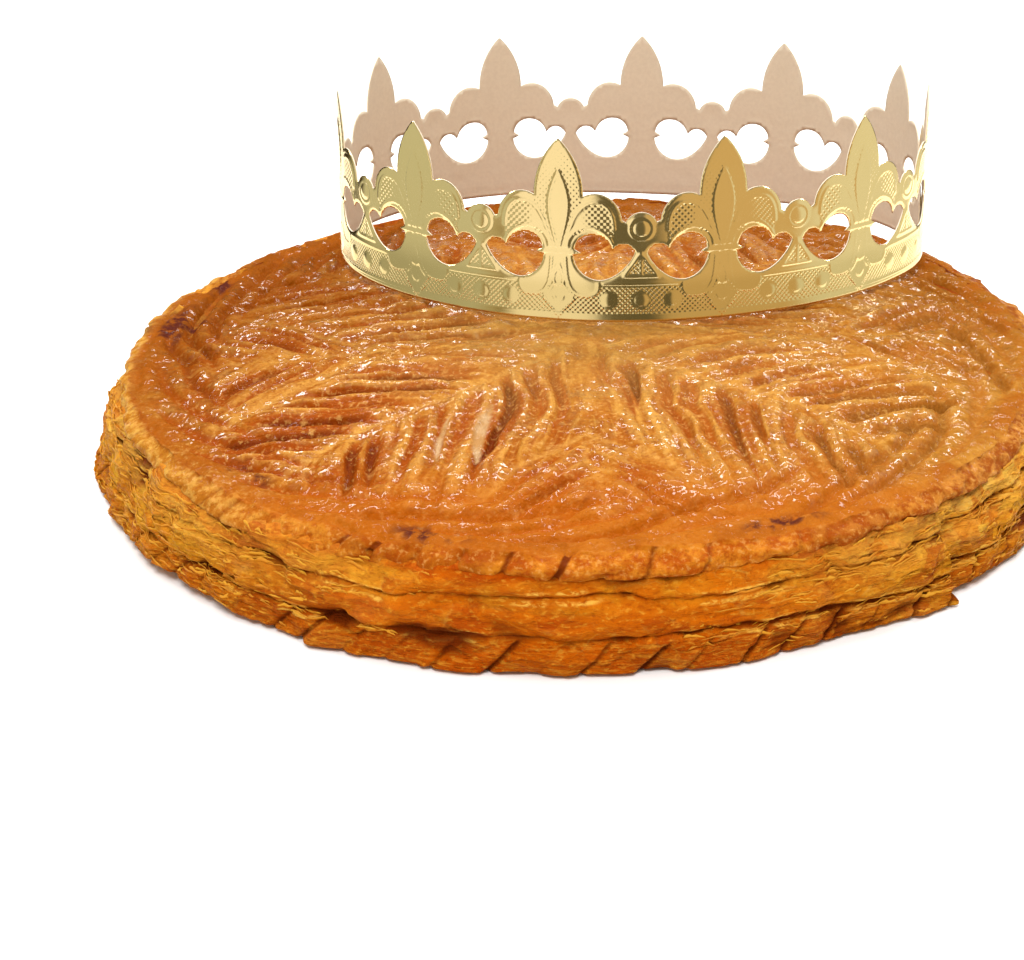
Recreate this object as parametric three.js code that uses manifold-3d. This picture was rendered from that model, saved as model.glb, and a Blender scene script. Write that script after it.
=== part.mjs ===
// Galette des rois with its paper crown, in millimetres, +Z up.
// The origin is the middle of the galette's flat underside.
import * as THREE from 'three';
import { mergeVertices } from 'three/addons/utils/BufferGeometryUtils.js';
import Module from 'manifold-3d';

const wasm = await Module();
wasm.setup();

// ---- galette: outline, rim and dome ----
const FOOT_RADIUS = 135; // outer edge of the bottom sheet
const FOOT_UNDERCUT = 3; // the flat underside starts this far inside the edge
const CREST_RADIUS = 125.5; // top of the rim
const CREST_HEIGHT = 27.6;
const CREST_TILT = 1.4; // the rim is this much higher in front than the mean, and lower behind
const GUTTER = 0.93; // the dome ends at this share of the crest's radius
const GUTTER_DROP = 0.9; // depth of the hollow between rim and dome
const DOME_RISE = 6.8; // height of the dome above the hollow
const LIP_ROLL = 2.6; // how far the glazed lip reaches out past the crest
const LIP_STEPS = [ // the lip's profile under the crest, from below
  { below: 4.1, out: -1.8 },
  { below: 3.1, out: -0.1 },
  { below: 1, out: -0.9 },
];
const SIDE_COLUMNS = 144;
const NICK_DEPTH = 1.5; // knife nicks in the foot and the lip
const FOOT_LEAN = 1; // sideways run of a nick for each millimetre of height, in the foot
const SIDE_LEAN = 0.62; // and above it
const PLEAT_AZIMUTH = THREE.MathUtils.degToRad(-51); // where the side steps in
const PLEAT_DEPTH = 2.6;
const PLEAT_FLARE = 3; // and how far it stands out before that
const LIFT_AZIMUTH = THREE.MathUtils.degToRad(-148); // where the foot curls off its board
const LIFT_HEIGHT = 2.6;

// The side is a stack of baked sheets: each bulges out between two recessed seams.
const SHEETS = [
  { from: 0, to: 8.6, reach: 0.9, recess: 2.4 },
  { from: 8.6, to: 18.4, reach: 1.3, recess: 2.8 },
  { from: 18.4, to: 24, reach: 0.8, recess: 1.8 },
];
const SHEET_STEPS = [0, 0.22, 0.5, 0.8];
const SEAM_WANDER = 0.9; // how far the seams stray up and down
const SHEET_CRAG = 1.6; // spread of the broken flakes along a sheet's edge
const LIP_CRAG = 0.9;

// ---- galette: scored leaf rosette ----
const ROSETTE = new THREE.Vector2(1, -9);
const LEAVES = [ // axis, and how far the cuts run forward for each millimetre across
  { axis: -42, left: 0.36, right: 0.8 },
  { axis: 47, left: 0.6, right: 0.45 },
  { axis: 137, left: 0.5, right: 0.6 },
  { axis: 221, left: 0.85, right: 0.74 },
];
const FILL_AXES = [-91, 2, 92, 181]; // shorter leaves that fill in between
const FILL_START = 60; // from the rosette's middle
const FILL_SPREAD = THREE.MathUtils.degToRad(45); // on each side of its axis
const FILL_SLANT = 0.95;
const LEAF_CUTS = { first: 10.5, step: 10.2, count: 10, longest: 46, bend: 0.0052 };
const FILL_CUTS = { first: 4, step: 8.4, count: 6, longest: 34, bend: 0 };
const CUT_REACH = 112; // cuts end inside this radius
const CUT_FROM = 3; // and this far from a leaf's middle
const CUT_DEPTH = 1.6;

// ---- crown: a strip of card, bent into an oval and overlapped ----
const CROWN_CENTRE = new THREE.Vector3(15.3, 68.3, 30.15);
const CROWN_LEAN_BACK = THREE.MathUtils.degToRad(3.39);
const CROWN_LEAN_RIGHT = THREE.MathUtils.degToRad(1.1);
const CROWN_HALF_WIDTH = 86.3;
const CROWN_HALF_DEPTH = 66.4;
const CROWN_SWAY = [ // how the bent card strays from a true oval
  { waves: 2, cos: 0.1, sin: -2.2 },
  { waves: 3, cos: 1.6, sin: 1.4 },
];
const CROWN_HEIGHT = 51.5;
const CARD = 0.8; // card with its embossing
const MODULE = 45.82; // from one fleur-de-lis to the next
const FLEURS = 11;
const FIRST_FLEUR = 18.7; // along the oval, from its right-hand end
const STRIP_START = -27; // both ends measured from the first fleur-de-lis
const STRIP_END = (FLEURS - 1) * MODULE + 17.6;
const OVERLAP_GAP = 0.4; // between the two layers where the strip's ends overlap
const OVERLAP_RAMP = 29; // the outer layer rises over this length before the overlap
const END_FLARE = 3.2; // the loose outer end springs away this far
const FLARE_LENGTH = 19;
const STRIP_STEP = MODULE / 7;
const BAND_CLEARANCE = 0.35; // the crown's lower edge stays this far above the crust

// A fixed pseudo-random number from 0 to 1 for each whole number.
function chance(index) {
  const wave = Math.sin(index * 127.1 + 311.7) * 43758.5453;
  return wave - Math.floor(wave);
}

// A smooth wavy value from about -1 to 1 around the galette.
function wander(azimuth, seed) {
  let sum = 0;
  for (const waves of [2, 3, 5, 7, 11]) {
    sum += Math.sin(waves * azimuth + 6.283 * chance(seed * 31 + waves)) / 2.2;
  }
  return sum;
}

function geometryOf(points, faces) {
  const geometry = new THREE.BufferGeometry();
  geometry.setAttribute('position', new THREE.Float32BufferAttribute(points, 3));
  geometry.setIndex(faces);
  return geometry;
}

function solidOf(source) {
  const bare = source.clone();
  bare.deleteAttribute('normal');
  bare.deleteAttribute('uv');
  const geometry = mergeVertices(bare, 1e-4);
  return new wasm.Manifold(new wasm.Mesh({
    numProp: 3,
    vertProperties: new Float32Array(geometry.attributes.position.array),
    triVerts: new Uint32Array(geometry.index.array),
  }));
}

function geometryFromSolid(solid) {
  const mesh = solid.getMesh();
  const geometry = geometryOf(Array.from(mesh.vertProperties), Array.from(mesh.triVerts));
  geometry.computeVertexNormals();
  return geometry;
}

// ---- crown: where the card runs ----

function ovalRadius(angle) {
  const across = Math.cos(angle) / CROWN_HALF_WIDTH;
  const along = Math.sin(angle) / CROWN_HALF_DEPTH;
  let radius = 1 / Math.hypot(across, along);
  for (const sway of CROWN_SWAY) {
    radius += sway.cos * Math.cos(sway.waves * angle) + sway.sin * Math.sin(sway.waves * angle);
  }
  return radius;
}

function ovalPoint(angle) {
  return new THREE.Vector2(Math.cos(angle), Math.sin(angle)).multiplyScalar(ovalRadius(angle));
}

const OVAL_SAMPLES = 1440;
const ovalLengths = [0];
for (let i = 1; i <= OVAL_SAMPLES; i++) {
  const step = (2 * Math.PI) / OVAL_SAMPLES;
  const piece = ovalPoint(i * step).distanceTo(ovalPoint((i - 1) * step));
  ovalLengths.push(ovalLengths[i - 1] + piece);
}
const OVAL_LENGTH = ovalLengths[OVAL_SAMPLES];

// Point, outward normal and forward tangent of the oval at a length along the strip.
function ovalAt(along) {
  const length = (((along + FIRST_FLEUR) % OVAL_LENGTH) + OVAL_LENGTH) % OVAL_LENGTH;
  let i = 0;
  while (ovalLengths[i + 1] < length) i++;
  const share = (length - ovalLengths[i]) / (ovalLengths[i + 1] - ovalLengths[i]);
  const angle = ((i + share) * 2 * Math.PI) / OVAL_SAMPLES;
  const tangent = ovalPoint(angle + 0.002).sub(ovalPoint(angle - 0.002)).normalize();
  return { point: ovalPoint(angle), tangent, normal: new THREE.Vector2(tangent.y, -tangent.x) };
}

// How far the strip stands off the oval, near its outer end.
function liftAt(along) {
  const overlapStart = STRIP_START + OVAL_LENGTH;
  const rampEnd = overlapStart - 1;
  const rise = THREE.MathUtils.smoothstep(along, rampEnd - OVERLAP_RAMP, rampEnd);
  const flareStart = STRIP_END - 13;
  const flare = THREE.MathUtils.smoothstep(along, flareStart, flareStart + FLARE_LENGTH);
  return rise * (CARD + OVERLAP_GAP) + flare * END_FLARE;
}

function stripPoint(along, offset) {
  const { point, normal } = ovalAt(along);
  return point.clone().addScaledVector(normal, offset + liftAt(along));
}

// ---- crown: what is punched out of the card ----

// The space above the card between two fleurs-de-lis, with u along the card from
// the first one's axis and v up from the lower edge.
function skylineShape() {
  const shape = new THREE.Shape();
  const half = MODULE / 2;
  const above = CROWN_HEIGHT + 2;
  const tip = 0.25;
  const pearl = { v: 26.7, radius: 4.6, from: 2.75 };
  shape.moveTo(tip, above);
  shape.lineTo(tip, CROWN_HEIGHT);
  shape.bezierCurveTo(4.4, 47.4, 6.9, 42, 6.9, 35.7);
  shape.absellipse(10.2, 28.2, 7.4, 8.3, 2.03, 0.1, true);
  shape.absarc(half, pearl.v, pearl.radius, pearl.from, Math.PI - pearl.from, true);
  shape.absellipse(MODULE - 10.2, 28.2, 7.4, 8.3, Math.PI - 0.1, Math.PI - 2.03, true);
  shape.lineTo(MODULE - 6.9, 35.7);
  shape.bezierCurveTo(MODULE - 6.9, 42, MODULE - 4.4, 47.4, MODULE - tip, CROWN_HEIGHT);
  shape.lineTo(MODULE - tip, above);
  return shape;
}

// The kidney-shaped hole beside a fleur-de-lis: the curled petal's cusp hangs into
// it from above and the tie's end points into it from the side.
function kidneyShape(mirrored) {
  const at = (u) => (mirrored ? MODULE - u : u);
  const shape = new THREE.Shape();
  shape.moveTo(at(4.2), 18.6);
  shape.bezierCurveTo(at(4.6), 14.5, at(8), 11.9, at(11.4), 11.9);
  shape.bezierCurveTo(at(15.2), 11.9, at(19.6), 15.8, at(21.2), 19.8);
  shape.bezierCurveTo(at(20.4), 21.8, at(17.4), 23.6, at(15), 20.4);
  shape.bezierCurveTo(at(13.9), 23.6, at(11.9), 24.9, at(9.2), 24.9);
  shape.bezierCurveTo(at(6.4), 24.9, at(4.6), 22.8, at(4.5), 20.6);
  shape.lineTo(at(6.2), 19.6);
  return shape;
}

// A punch through the card: the outline is laid on the bent card around the middle
// of the module, then runs straight through it along the outward normal.
function punchOf(shape, fleur, divisions) {
  const middle = (fleur + 0.5) * MODULE;
  const { point, tangent, normal } = ovalAt(middle);
  const outline = shape.getPoints(divisions).map(({ x: u, y: v }) => {
    const onCard = ovalAt(fleur * MODULE + u).point.sub(point);
    return new THREE.Vector2(onCard.dot(tangent), v);
  });
  const inward = 9;
  const outward = 7;
  const geometry = new THREE.ExtrudeGeometry(new THREE.Shape(outline), {
    depth: inward + outward,
    bevelEnabled: false,
  });
  geometry.translate(0, 0, -outward);
  const tangent3 = new THREE.Vector3(tangent.x, tangent.y, 0);
  const inward3 = new THREE.Vector3(-normal.x, -normal.y, 0);
  const basis = new THREE.Matrix4().makeBasis(tangent3, new THREE.Vector3(0, 0, 1), inward3);
  basis.setPosition(point.x, point.y, 0);
  // The tangent, up and inward directions are left-handed, so the faces are turned.
  geometry.applyMatrix4(basis);
  return solidOf(basis.determinant() < 0 ? turned(geometry) : geometry);
}

function turned(geometry) {
  const flipped = geometry.index ? geometry.toNonIndexed() : geometry.clone();
  const position = flipped.attributes.position;
  const first = new THREE.Vector3();
  const second = new THREE.Vector3();
  for (let i = 0; i < position.count; i += 3) {
    first.fromBufferAttribute(position, i);
    second.fromBufferAttribute(position, i + 1);
    position.setXYZ(i, second.x, second.y, second.z);
    position.setXYZ(i + 1, first.x, first.y, first.z);
  }
  return flipped;
}

function stripSolid(start, end, gaps) {
  const steps = Math.round((end - start) / STRIP_STEP);
  const outer = [];
  const inner = [];
  for (let i = 0; i <= steps; i++) {
    const along = start + ((end - start) * i) / steps;
    outer.push(stripPoint(along, CARD / 2));
    inner.push(stripPoint(along, -CARD / 2));
  }
  const plan = new THREE.Shape(outer.concat(inner.reverse()));
  let solid = solidOf(new THREE.ExtrudeGeometry(plan, {
    depth: CROWN_HEIGHT,
    bevelEnabled: false,
  }));
  for (const gap of gaps) {
    solid = solid.subtract(punchOf(skylineShape(), gap, 4));
    solid = solid.subtract(punchOf(kidneyShape(false), gap, 3));
    solid = solid.subtract(punchOf(kidneyShape(true), gap, 3));
  }
  return solid;
}

function makeCrown() {
  const joint = (FLEURS - 2) * MODULE;
  const gaps = Array.from({ length: FLEURS - 1 }, (_, i) => i - 1);
  const ring = stripSolid(STRIP_START, joint, gaps);
  const outerEnd = stripSolid(joint, STRIP_END, [FLEURS - 2, FLEURS - 1]);
  return geometryFromSolid(ring.add(outerEnd));
}

const crownPlace = new THREE.Group();
crownPlace.position.copy(CROWN_CENTRE);
crownPlace.rotation.set(-CROWN_LEAN_BACK, CROWN_LEAN_RIGHT, 0, 'YXZ');
crownPlace.updateMatrixWorld(true);
const crownUp = new THREE.Vector3(0, 0, 1).applyEuler(crownPlace.rotation);

// The highest the crust may stand at a point: just under the crown's lower edge,
// and freer away from it.
function bandCeiling(x, y) {
  const fromCentre = new THREE.Vector2(x - CROWN_CENTRE.x, y - CROWN_CENTRE.y);
  const slope = (fromCentre.x * crownUp.x + fromCentre.y * crownUp.y) / crownUp.z;
  const away = Math.abs(fromCentre.length() - ovalRadius(fromCentre.angle()));
  return CROWN_CENTRE.z - slope - BAND_CLEARANCE + Math.max(0, away - 5) * 0.2;
}

// ---- galette ----

function turnBetween(azimuth, other) {
  return Math.atan2(Math.sin(azimuth - other), Math.cos(azimuth - other));
}

function crestRadius(azimuth) {
  const oval = 1.5 * Math.sin(azimuth) - 2.5 * Math.cos(2 * azimuth);
  return CREST_RADIUS + oval + 0.7 * wander(azimuth, 1);
}

function crestHeight(azimuth) {
  return CREST_HEIGHT - CREST_TILT * Math.sin(azimuth) + 0.35 * wander(azimuth, 2);
}

function pleat(azimuth) {
  const past = turnBetween(azimuth, PLEAT_AZIMUTH);
  if (past < -0.5 || past > 0.35) return 0;
  return past < 0 ? -PLEAT_FLARE * (1 + past / 0.5) ** 2 : PLEAT_DEPTH * (1 - past / 0.35);
}

function footRadius(azimuth) {
  return FOOT_RADIUS + 0.9 * wander(azimuth, 3) - pleat(azimuth);
}

function footLift(azimuth) {
  return LIFT_HEIGHT * Math.exp(-((turnBetween(azimuth, LIFT_AZIMUTH) / 0.26) ** 2));
}

function domeHeight(x, y) {
  const azimuth = Math.atan2(y, x);
  const share = Math.hypot(x, y) / crestRadius(azimuth);
  const hollow = crestHeight(azimuth) - GUTTER_DROP;
  if (share > GUTTER) {
    const rise = THREE.MathUtils.smoothstep(share, GUTTER, 1);
    return hollow + GUTTER_DROP * rise;
  }
  const inner = share / GUTTER;
  const level = THREE.MathUtils.lerp(CREST_HEIGHT - GUTTER_DROP, hollow, inner ** 2);
  const puff = 0.35 * Math.sin(x / 11 + 1.3) * Math.sin(y / 13 + 0.4) * (1 - inner);
  return level + DOME_RISE * (1 - inner ** 2) ** 0.8 + puff;
}

function crustHeight(x, y) {
  return Math.min(domeHeight(x, y), bandCeiling(x, y));
}

// Rings of the side, from the underside's edge up to the lip, each as the height and
// radius at an azimuth.
function sideRings() {
  const rings = [];
  rings.push((azimuth) => ({
    height: 0,
    radius: footRadius(azimuth) - FOOT_UNDERCUT - 1.6 * footLift(azimuth),
  }));
  SHEETS.forEach((sheet, layer) => {
    SHEET_STEPS.forEach((step, part) => {
      if (layer === 0 && part === 0) return;
      rings.push((azimuth, column) => {
        const seam = layer === 0 ? 0 : SEAM_WANDER * wander(azimuth, 5 + layer);
        const nextSeam = SEAM_WANDER * wander(azimuth, 6 + layer);
        const level = THREE.MathUtils.lerp(sheet.from + seam, sheet.to + nextSeam, step);
        const lift = footLift(azimuth) * (layer === 0 ? 1 : 0.4);
        const height = level + lift * (1 - level / CREST_HEIGHT);
        const hollow = (1 - Math.sin(Math.PI * step)) ** 2;
        const crag = (chance(column * 7 + layer * 977 + part * 53) - 0.5) * SHEET_CRAG;
        const nick = layer === 0 && column % 2 ? NICK_DEPTH * (0.5 + chance(column)) : 0;
        const bulge = sheet.reach - sheet.recess * hollow + crag * (1 - hollow) - nick;
        return { height, radius: leaningRadius(azimuth, height) + bulge };
      });
    });
  });
  LIP_STEPS.forEach((step, part) => {
    rings.push((azimuth, column) => {
      const nick = column % 2 ? 0.7 * NICK_DEPTH * (0.4 + chance(column + 400)) : 0;
      const crag = (chance(column * 13 + part * 71 + 5000) - 0.5) * LIP_CRAG;
      return {
        height: crestHeight(azimuth) - step.below + 0.5 * wander(azimuth, 9),
        radius: crestRadius(azimuth) + LIP_ROLL + step.out + crag - nick,
      };
    });
  });
  return rings;
}

// Radius of the side at a height: upright low down, leaning in towards the lip.
function leaningRadius(azimuth, height) {
  const share = THREE.MathUtils.clamp(height / crestHeight(azimuth), 0, 1);
  const foot = footRadius(azimuth);
  const lip = crestRadius(azimuth) + LIP_ROLL - 1.2;
  return foot + (lip - foot) * share ** 1.8;
}

// Rings of the top, from the crest inwards, each as a share of the crest's radius
// with the number of columns it has.
const TOP_RINGS = [
  { share: 1, columns: SIDE_COLUMNS },
  { share: 0.965, columns: SIDE_COLUMNS },
  { share: 0.92, columns: SIDE_COLUMNS / 2 },
  { share: 0.8, columns: SIDE_COLUMNS / 2 },
  { share: 0.67, columns: SIDE_COLUMNS / 2 },
  { share: 0.53, columns: SIDE_COLUMNS / 4 },
  { share: 0.36, columns: SIDE_COLUMNS / 4 },
  { share: 0.18, columns: SIDE_COLUMNS / 4 },
];

// How far a nick has run sideways at a height.
function nickRun(height) {
  const foot = SHEETS[0].to;
  return FOOT_LEAN * Math.min(height, foot) + SIDE_LEAN * Math.max(0, height - foot);
}

function galetteBody() {
  const points = [];
  const faces = [];
  const rings = [];
  const addRing = (columns, place) => {
    rings.push({ first: points.length / 3, columns });
    for (let column = 0; column < columns; column++) points.push(...place(column));
  };
  for (const ring of sideRings()) {
    addRing(SIDE_COLUMNS, (column) => {
      const flat = (column / SIDE_COLUMNS) * 2 * Math.PI;
      const { height, radius } = ring(flat, column);
      const azimuth = flat + nickRun(height) / FOOT_RADIUS;
      return [radius * Math.cos(azimuth), radius * Math.sin(azimuth), height];
    });
  }
  const topTurn = nickRun(CREST_HEIGHT) / FOOT_RADIUS;
  for (const { share, columns } of TOP_RINGS) {
    addRing(columns, (column) => {
      const azimuth = (column / columns) * 2 * Math.PI + topTurn;
      const radius = share * crestRadius(azimuth);
      const x = radius * Math.cos(azimuth);
      const y = radius * Math.sin(azimuth);
      return [x, y, crustHeight(x, y)];
    });
  }
  for (let i = 1; i < rings.length; i++) joinRings(rings[i - 1], rings[i], faces);
  const last = rings[rings.length - 1];
  const top = points.length / 3;
  points.push(0, 0, crustHeight(0, 0));
  const bottom = top + 1;
  points.push(0, 0, 0);
  for (let column = 0; column < last.columns; column++) {
    faces.push(top, last.first + column, last.first + ((column + 1) % last.columns));
  }
  for (let column = 0; column < SIDE_COLUMNS; column++) {
    faces.push(bottom, (column + 1) % SIDE_COLUMNS, column);
  }
  return geometryOf(points, faces);
}

// Faces between two rings, where the inner one has as many columns or half as many.
function joinRings(outer, inner, faces) {
  const outerAt = (column) => outer.first + (column % outer.columns);
  const innerAt = (column) => inner.first + (column % inner.columns);
  if (outer.columns === inner.columns) {
    for (let column = 0; column < outer.columns; column++) {
      faces.push(outerAt(column), outerAt(column + 1), innerAt(column + 1));
      faces.push(outerAt(column), innerAt(column + 1), innerAt(column));
    }
    return;
  }
  for (let column = 0; column < inner.columns; column++) {
    const start = 2 * column;
    faces.push(outerAt(start), outerAt(start + 1), innerAt(column));
    faces.push(outerAt(start + 1), innerAt(column + 1), innerAt(column));
    faces.push(outerAt(start + 1), outerAt(start + 2), innerAt(column + 1));
  }
}

// A spindle-shaped knife cut along a bent line, wide and deep in the middle, with
// its upper half above the crust.
function knifeCut(lineAt, from, to, width, depth) {
  const stations = [0.22, 0.5, 0.78];
  const start = lineAt(from);
  const end = lineAt(to);
  const along = end.clone().sub(start);
  const side = new THREE.Vector2(-along.y, along.x).normalize();
  const points = [start.x, start.y, crustHeight(start.x, start.y) + 0.4];
  for (const share of stations) {
    const full = Math.sin(Math.PI * share) ** 0.6;
    const point = lineAt(THREE.MathUtils.lerp(from, to, share));
    const level = crustHeight(point.x, point.y);
    const half = (width / 2) * full + 0.4;
    points.push(point.x + side.x * half, point.y + side.y * half, level + 0.3);
    points.push(point.x, point.y, level + 3);
    points.push(point.x - side.x * half, point.y - side.y * half, level + 0.3);
    points.push(point.x, point.y, level - depth * full);
  }
  points.push(end.x, end.y, crustHeight(end.x, end.y) + 0.4);
  const faces = [];
  const last = 1 + 4 * stations.length;
  for (let corner = 0; corner < 4; corner++) {
    const next = (corner + 1) % 4;
    faces.push(0, 1 + next, 1 + corner);
    for (let i = 0; i + 1 < stations.length; i++) {
      const here = 1 + 4 * i;
      faces.push(here + corner, here + 4 + next, here + 4 + corner);
      faces.push(here + corner, here + next, here + 4 + next);
    }
    faces.push(last, last - 4 + corner, last - 4 + next);
  }
  return solidOf(geometryOf(points, faces));
}

function headingOf(degrees) {
  const turn = THREE.MathUtils.degToRad(degrees);
  return new THREE.Vector2(Math.cos(turn), Math.sin(turn));
}

// How deep a point lies in a fill leaf, and below 0 how far outside of it.
function depthInFill(point, axis) {
  const heading = headingOf(axis);
  const tip = ROSETTE.clone().addScaledVector(heading, FILL_START);
  const away = point.clone().sub(tip);
  const across = Math.abs(heading.cross(away));
  return away.dot(heading) * Math.sin(FILL_SPREAD) - across * Math.cos(FILL_SPREAD);
}

// How deep a point lies in a main leaf, between the fill leaves.
function depthInLeaf(point) {
  const away = point.clone().sub(ROSETTE);
  const rooms = FILL_AXES.map((axis) => -depthInFill(point, axis));
  if (away.length() < FILL_START) {
    rooms.push(...FILL_AXES.map((axis) => Math.abs(headingOf(axis).cross(away))));
  }
  return Math.min(...rooms);
}

// Every other cut on both sides of a leaf's middle: the render has those between too.
function leafCuts(index, origin, axis, slants, cuts, depthAt) {
  const solids = [];
  const forward = headingOf(axis);
  const aside = headingOf(axis + 90);
  for (let number = 1; number < cuts.count; number += 2) {
    for (const left of [true, false]) {
      const key = index * 97 + number * 11 + (left ? 3 : 0);
      const strength = 0.75 + 0.5 * chance(key + 2);
      const shift = 0.3 * (chance(key + 5) - 0.5) - (left ? 0 : 0.45);
      const first = cuts.first + (number + shift) * cuts.step;
      const slant = left ? slants.left : slants.right;
      const lineAt = (out) => origin.clone()
        .addScaledVector(forward, first + slant * out + cuts.bend * out ** 2)
        .addScaledVector(aside, left ? out : -out);
      const free = (point) => point.length() < CUT_REACH && depthAt(point) > 2.5;
      const longest = cuts.longest * (0.6 + 0.4 * chance(key + 1));
      let end = CUT_FROM;
      while (end < longest && free(lineAt(end + 1))) end += 1;
      if (end < CUT_FROM + 7) continue;
      const width = 3.4 + 2.4 * chance(key + 3);
      solids.push(knifeCut(lineAt, CUT_FROM, end, width, CUT_DEPTH * strength));
    }
  }
  return solids;
}

function rosetteCuts() {
  const cuts = LEAVES.flatMap((leaf, index) => (
    leafCuts(index, ROSETTE, leaf.axis, leaf, LEAF_CUTS, depthInLeaf)));
  FILL_AXES.forEach((axis, index) => {
    const tip = ROSETTE.clone().addScaledVector(headingOf(axis), FILL_START);
    const slants = { left: FILL_SLANT, right: FILL_SLANT };
    const depthAt = (point) => depthInFill(point, axis);
    cuts.push(...leafCuts(40 + index, tip, axis, slants, FILL_CUTS, depthAt));
  });
  return cuts;
}

function makeGalette() {
  let solid = solidOf(galetteBody());
  for (const cut of rosetteCuts()) solid = solid.subtract(cut);
  return geometryFromSolid(solid);
}

const pastry = new THREE.MeshStandardMaterial({ color: 0xc9792b, roughness: 0.45, metalness: 0 });
const goldCard = new THREE.MeshStandardMaterial({ color: 0xd9b45a, roughness: 0.3, metalness: 0.9 });

const galette = new THREE.Mesh(makeGalette(), pastry);
galette.name = 'galette';

const crown = new THREE.Mesh(makeCrown(), goldCard);
crown.name = 'crown';
crownPlace.add(crown);

const part = new THREE.Group();
part.add(galette, crownPlace);

export default part;
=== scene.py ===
"""Looks of a galette des rois with the card crown that lies on it.

Shapes are worked out in millimetres and become metres when a mesh is made.
"""
import math

import bpy
import numpy as np
from mathutils import Matrix, Vector
from mathutils.geometry import delaunay_2d_cdt


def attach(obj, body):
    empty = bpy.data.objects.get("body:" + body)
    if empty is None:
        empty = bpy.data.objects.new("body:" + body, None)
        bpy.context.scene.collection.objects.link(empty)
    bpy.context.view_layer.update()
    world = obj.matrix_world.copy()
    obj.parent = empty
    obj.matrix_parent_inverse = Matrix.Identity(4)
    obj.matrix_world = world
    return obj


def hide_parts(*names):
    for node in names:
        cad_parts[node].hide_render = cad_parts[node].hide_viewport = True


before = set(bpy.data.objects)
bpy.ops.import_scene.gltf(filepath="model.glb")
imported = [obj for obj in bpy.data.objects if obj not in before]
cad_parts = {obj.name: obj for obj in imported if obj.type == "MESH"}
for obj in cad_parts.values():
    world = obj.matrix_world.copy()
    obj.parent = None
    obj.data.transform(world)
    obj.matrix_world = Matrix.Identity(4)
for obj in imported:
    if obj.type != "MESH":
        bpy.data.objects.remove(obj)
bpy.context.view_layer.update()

MM = 0.001
TURN = 2 * math.pi
FAR = 99.0  # farther than any distance that counts

# ---- camera, fitted to the photograph's view ----
FRAME_WIDTH = 1024  # pixels
FOCAL = 2542.275  # pixels
SENSOR = 36.0
EYE = (-20.707, -654.205, 298.006)
LOOK = Vector((0.0, 0.90324, -0.429135))
RIGHT = Vector((0.999449, -0.014248, -0.029989))

# ---- galette, as in the part's source ----
FOOT_RADIUS = 135.0
FOOT_UNDERCUT = 3.0
CREST_RADIUS = 125.5
CREST_HEIGHT = 27.6
CREST_TILT = 1.4
GUTTER = 0.93
GUTTER_DROP = 0.9
DOME_RISE = 6.8
LIP_ROLL = 2.6
NICKS = 72
FOOT_LEAN = 1.0  # sideways run of a nick for each millimetre of height, in the foot
SIDE_LEAN = 0.62  # and above it
PLEAT_AZIMUTH = math.radians(-51)
PLEAT_DEPTH = 2.6
PLEAT_FLARE = 3.0
LIFT_AZIMUTH = math.radians(-148)
LIFT_HEIGHT = 2.6
SEAM_WANDER = 0.9
SHEETS = [  # from, to, reach, recess
    (0.0, 8.6, 0.9, 2.4),
    (8.6, 18.4, 1.3, 2.8),
    (18.4, 24.0, 0.8, 1.8),
]

# ---- scored rosette ----
ROSETTE = (1.0, -9.0)
LEAVES = [  # axis, and how far the cuts run forward for each millimetre across, left and right
    (-42.0, 0.36, 0.80),
    (47.0, 0.60, 0.45),
    (137.0, 0.50, 0.60),
    (221.0, 0.85, 0.74),
]
LEAF_CUTS = (10.2, 0.0052, 10.5, 46.0)  # step, bend, where they start, and the longest
CUT_REACH = 118.0
CUT_DEPTH = 1.9
FILL_AXES = [-91.0, 2.0, 92.0, 181.0]  # shorter leaves that fill in between
FILL_START = 60.0
FILL_SPREAD = math.radians(45)
FILL_CUTS = ((0.95, 0.95), 8.4, 0.0, 4.0, 34.0)  # slants as in LEAVES, then as in LEAF_CUTS
FILL_STRENGTH = np.array([[0.9], [0.8], [1], [1], [1], [1]])  # of cuts, swells and the other marks
SPIRAL_PITCH = 31.0  # millimetres inwards for each radian, of the grooves inside the rim
SPIRALS = 26
SPIRAL_START = (98.0, 106.0)  # radii between which they deepen
SPIRAL_DEPTH = 2.5

# ---- crown, as in the part's source ----
CROWN_CENTRE = (15.3, 68.3, 30.15)
CROWN_LEAN_BACK = math.radians(3.39)
CROWN_LEAN_RIGHT = math.radians(1.1)
CROWN_HALF_WIDTH = 86.3
CROWN_HALF_DEPTH = 66.4
CROWN_SWAY = [(2, 0.1, -2.2), (3, 1.6, 1.4)]  # waves, cosine part, sine part
CROWN_HEIGHT = 51.5
CARD = 0.8
MODULE = 45.82
FLEURS = 11
FIRST_FLEUR = 18.7
STRIP_START = -27.0
STRIP_END = (FLEURS - 1) * MODULE + 17.6
OVERLAP_GAP = 0.4
OVERLAP_RAMP = 29.0
END_FLARE = 3.2
FLARE_LENGTH = 19.0
BAND_CLEARANCE = 0.35


# ---- numbers ----

def smoothstep(value, low, high):
    share = np.clip((value - low) / (high - low), 0.0, 1.0)
    return share * share * (3 - 2 * share)


def fading(value, low, high):
    return 1 - smoothstep(value, low, high)


def chance(index):
    """A fixed pseudo-random number from 0 to 1 for each whole number."""
    wave = np.sin(np.asarray(index, float) * 127.1 + 311.7) * 43758.5453
    return wave - np.floor(wave)


def wander(azimuth, seed):
    """A smooth wavy value from about -1 to 1 around the galette."""
    total = 0.0
    for waves in (2, 3, 5, 7, 11):
        total = total + np.sin(waves * azimuth + 6.283 * chance(seed * 31 + waves)) / 2.2
    return total


def lattice(column, row, seed):
    wave = np.sin(column * 127.1 + row * 311.7 + seed * 74.7 + 0.5) * 43758.5453
    return wave - np.floor(wave)


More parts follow.
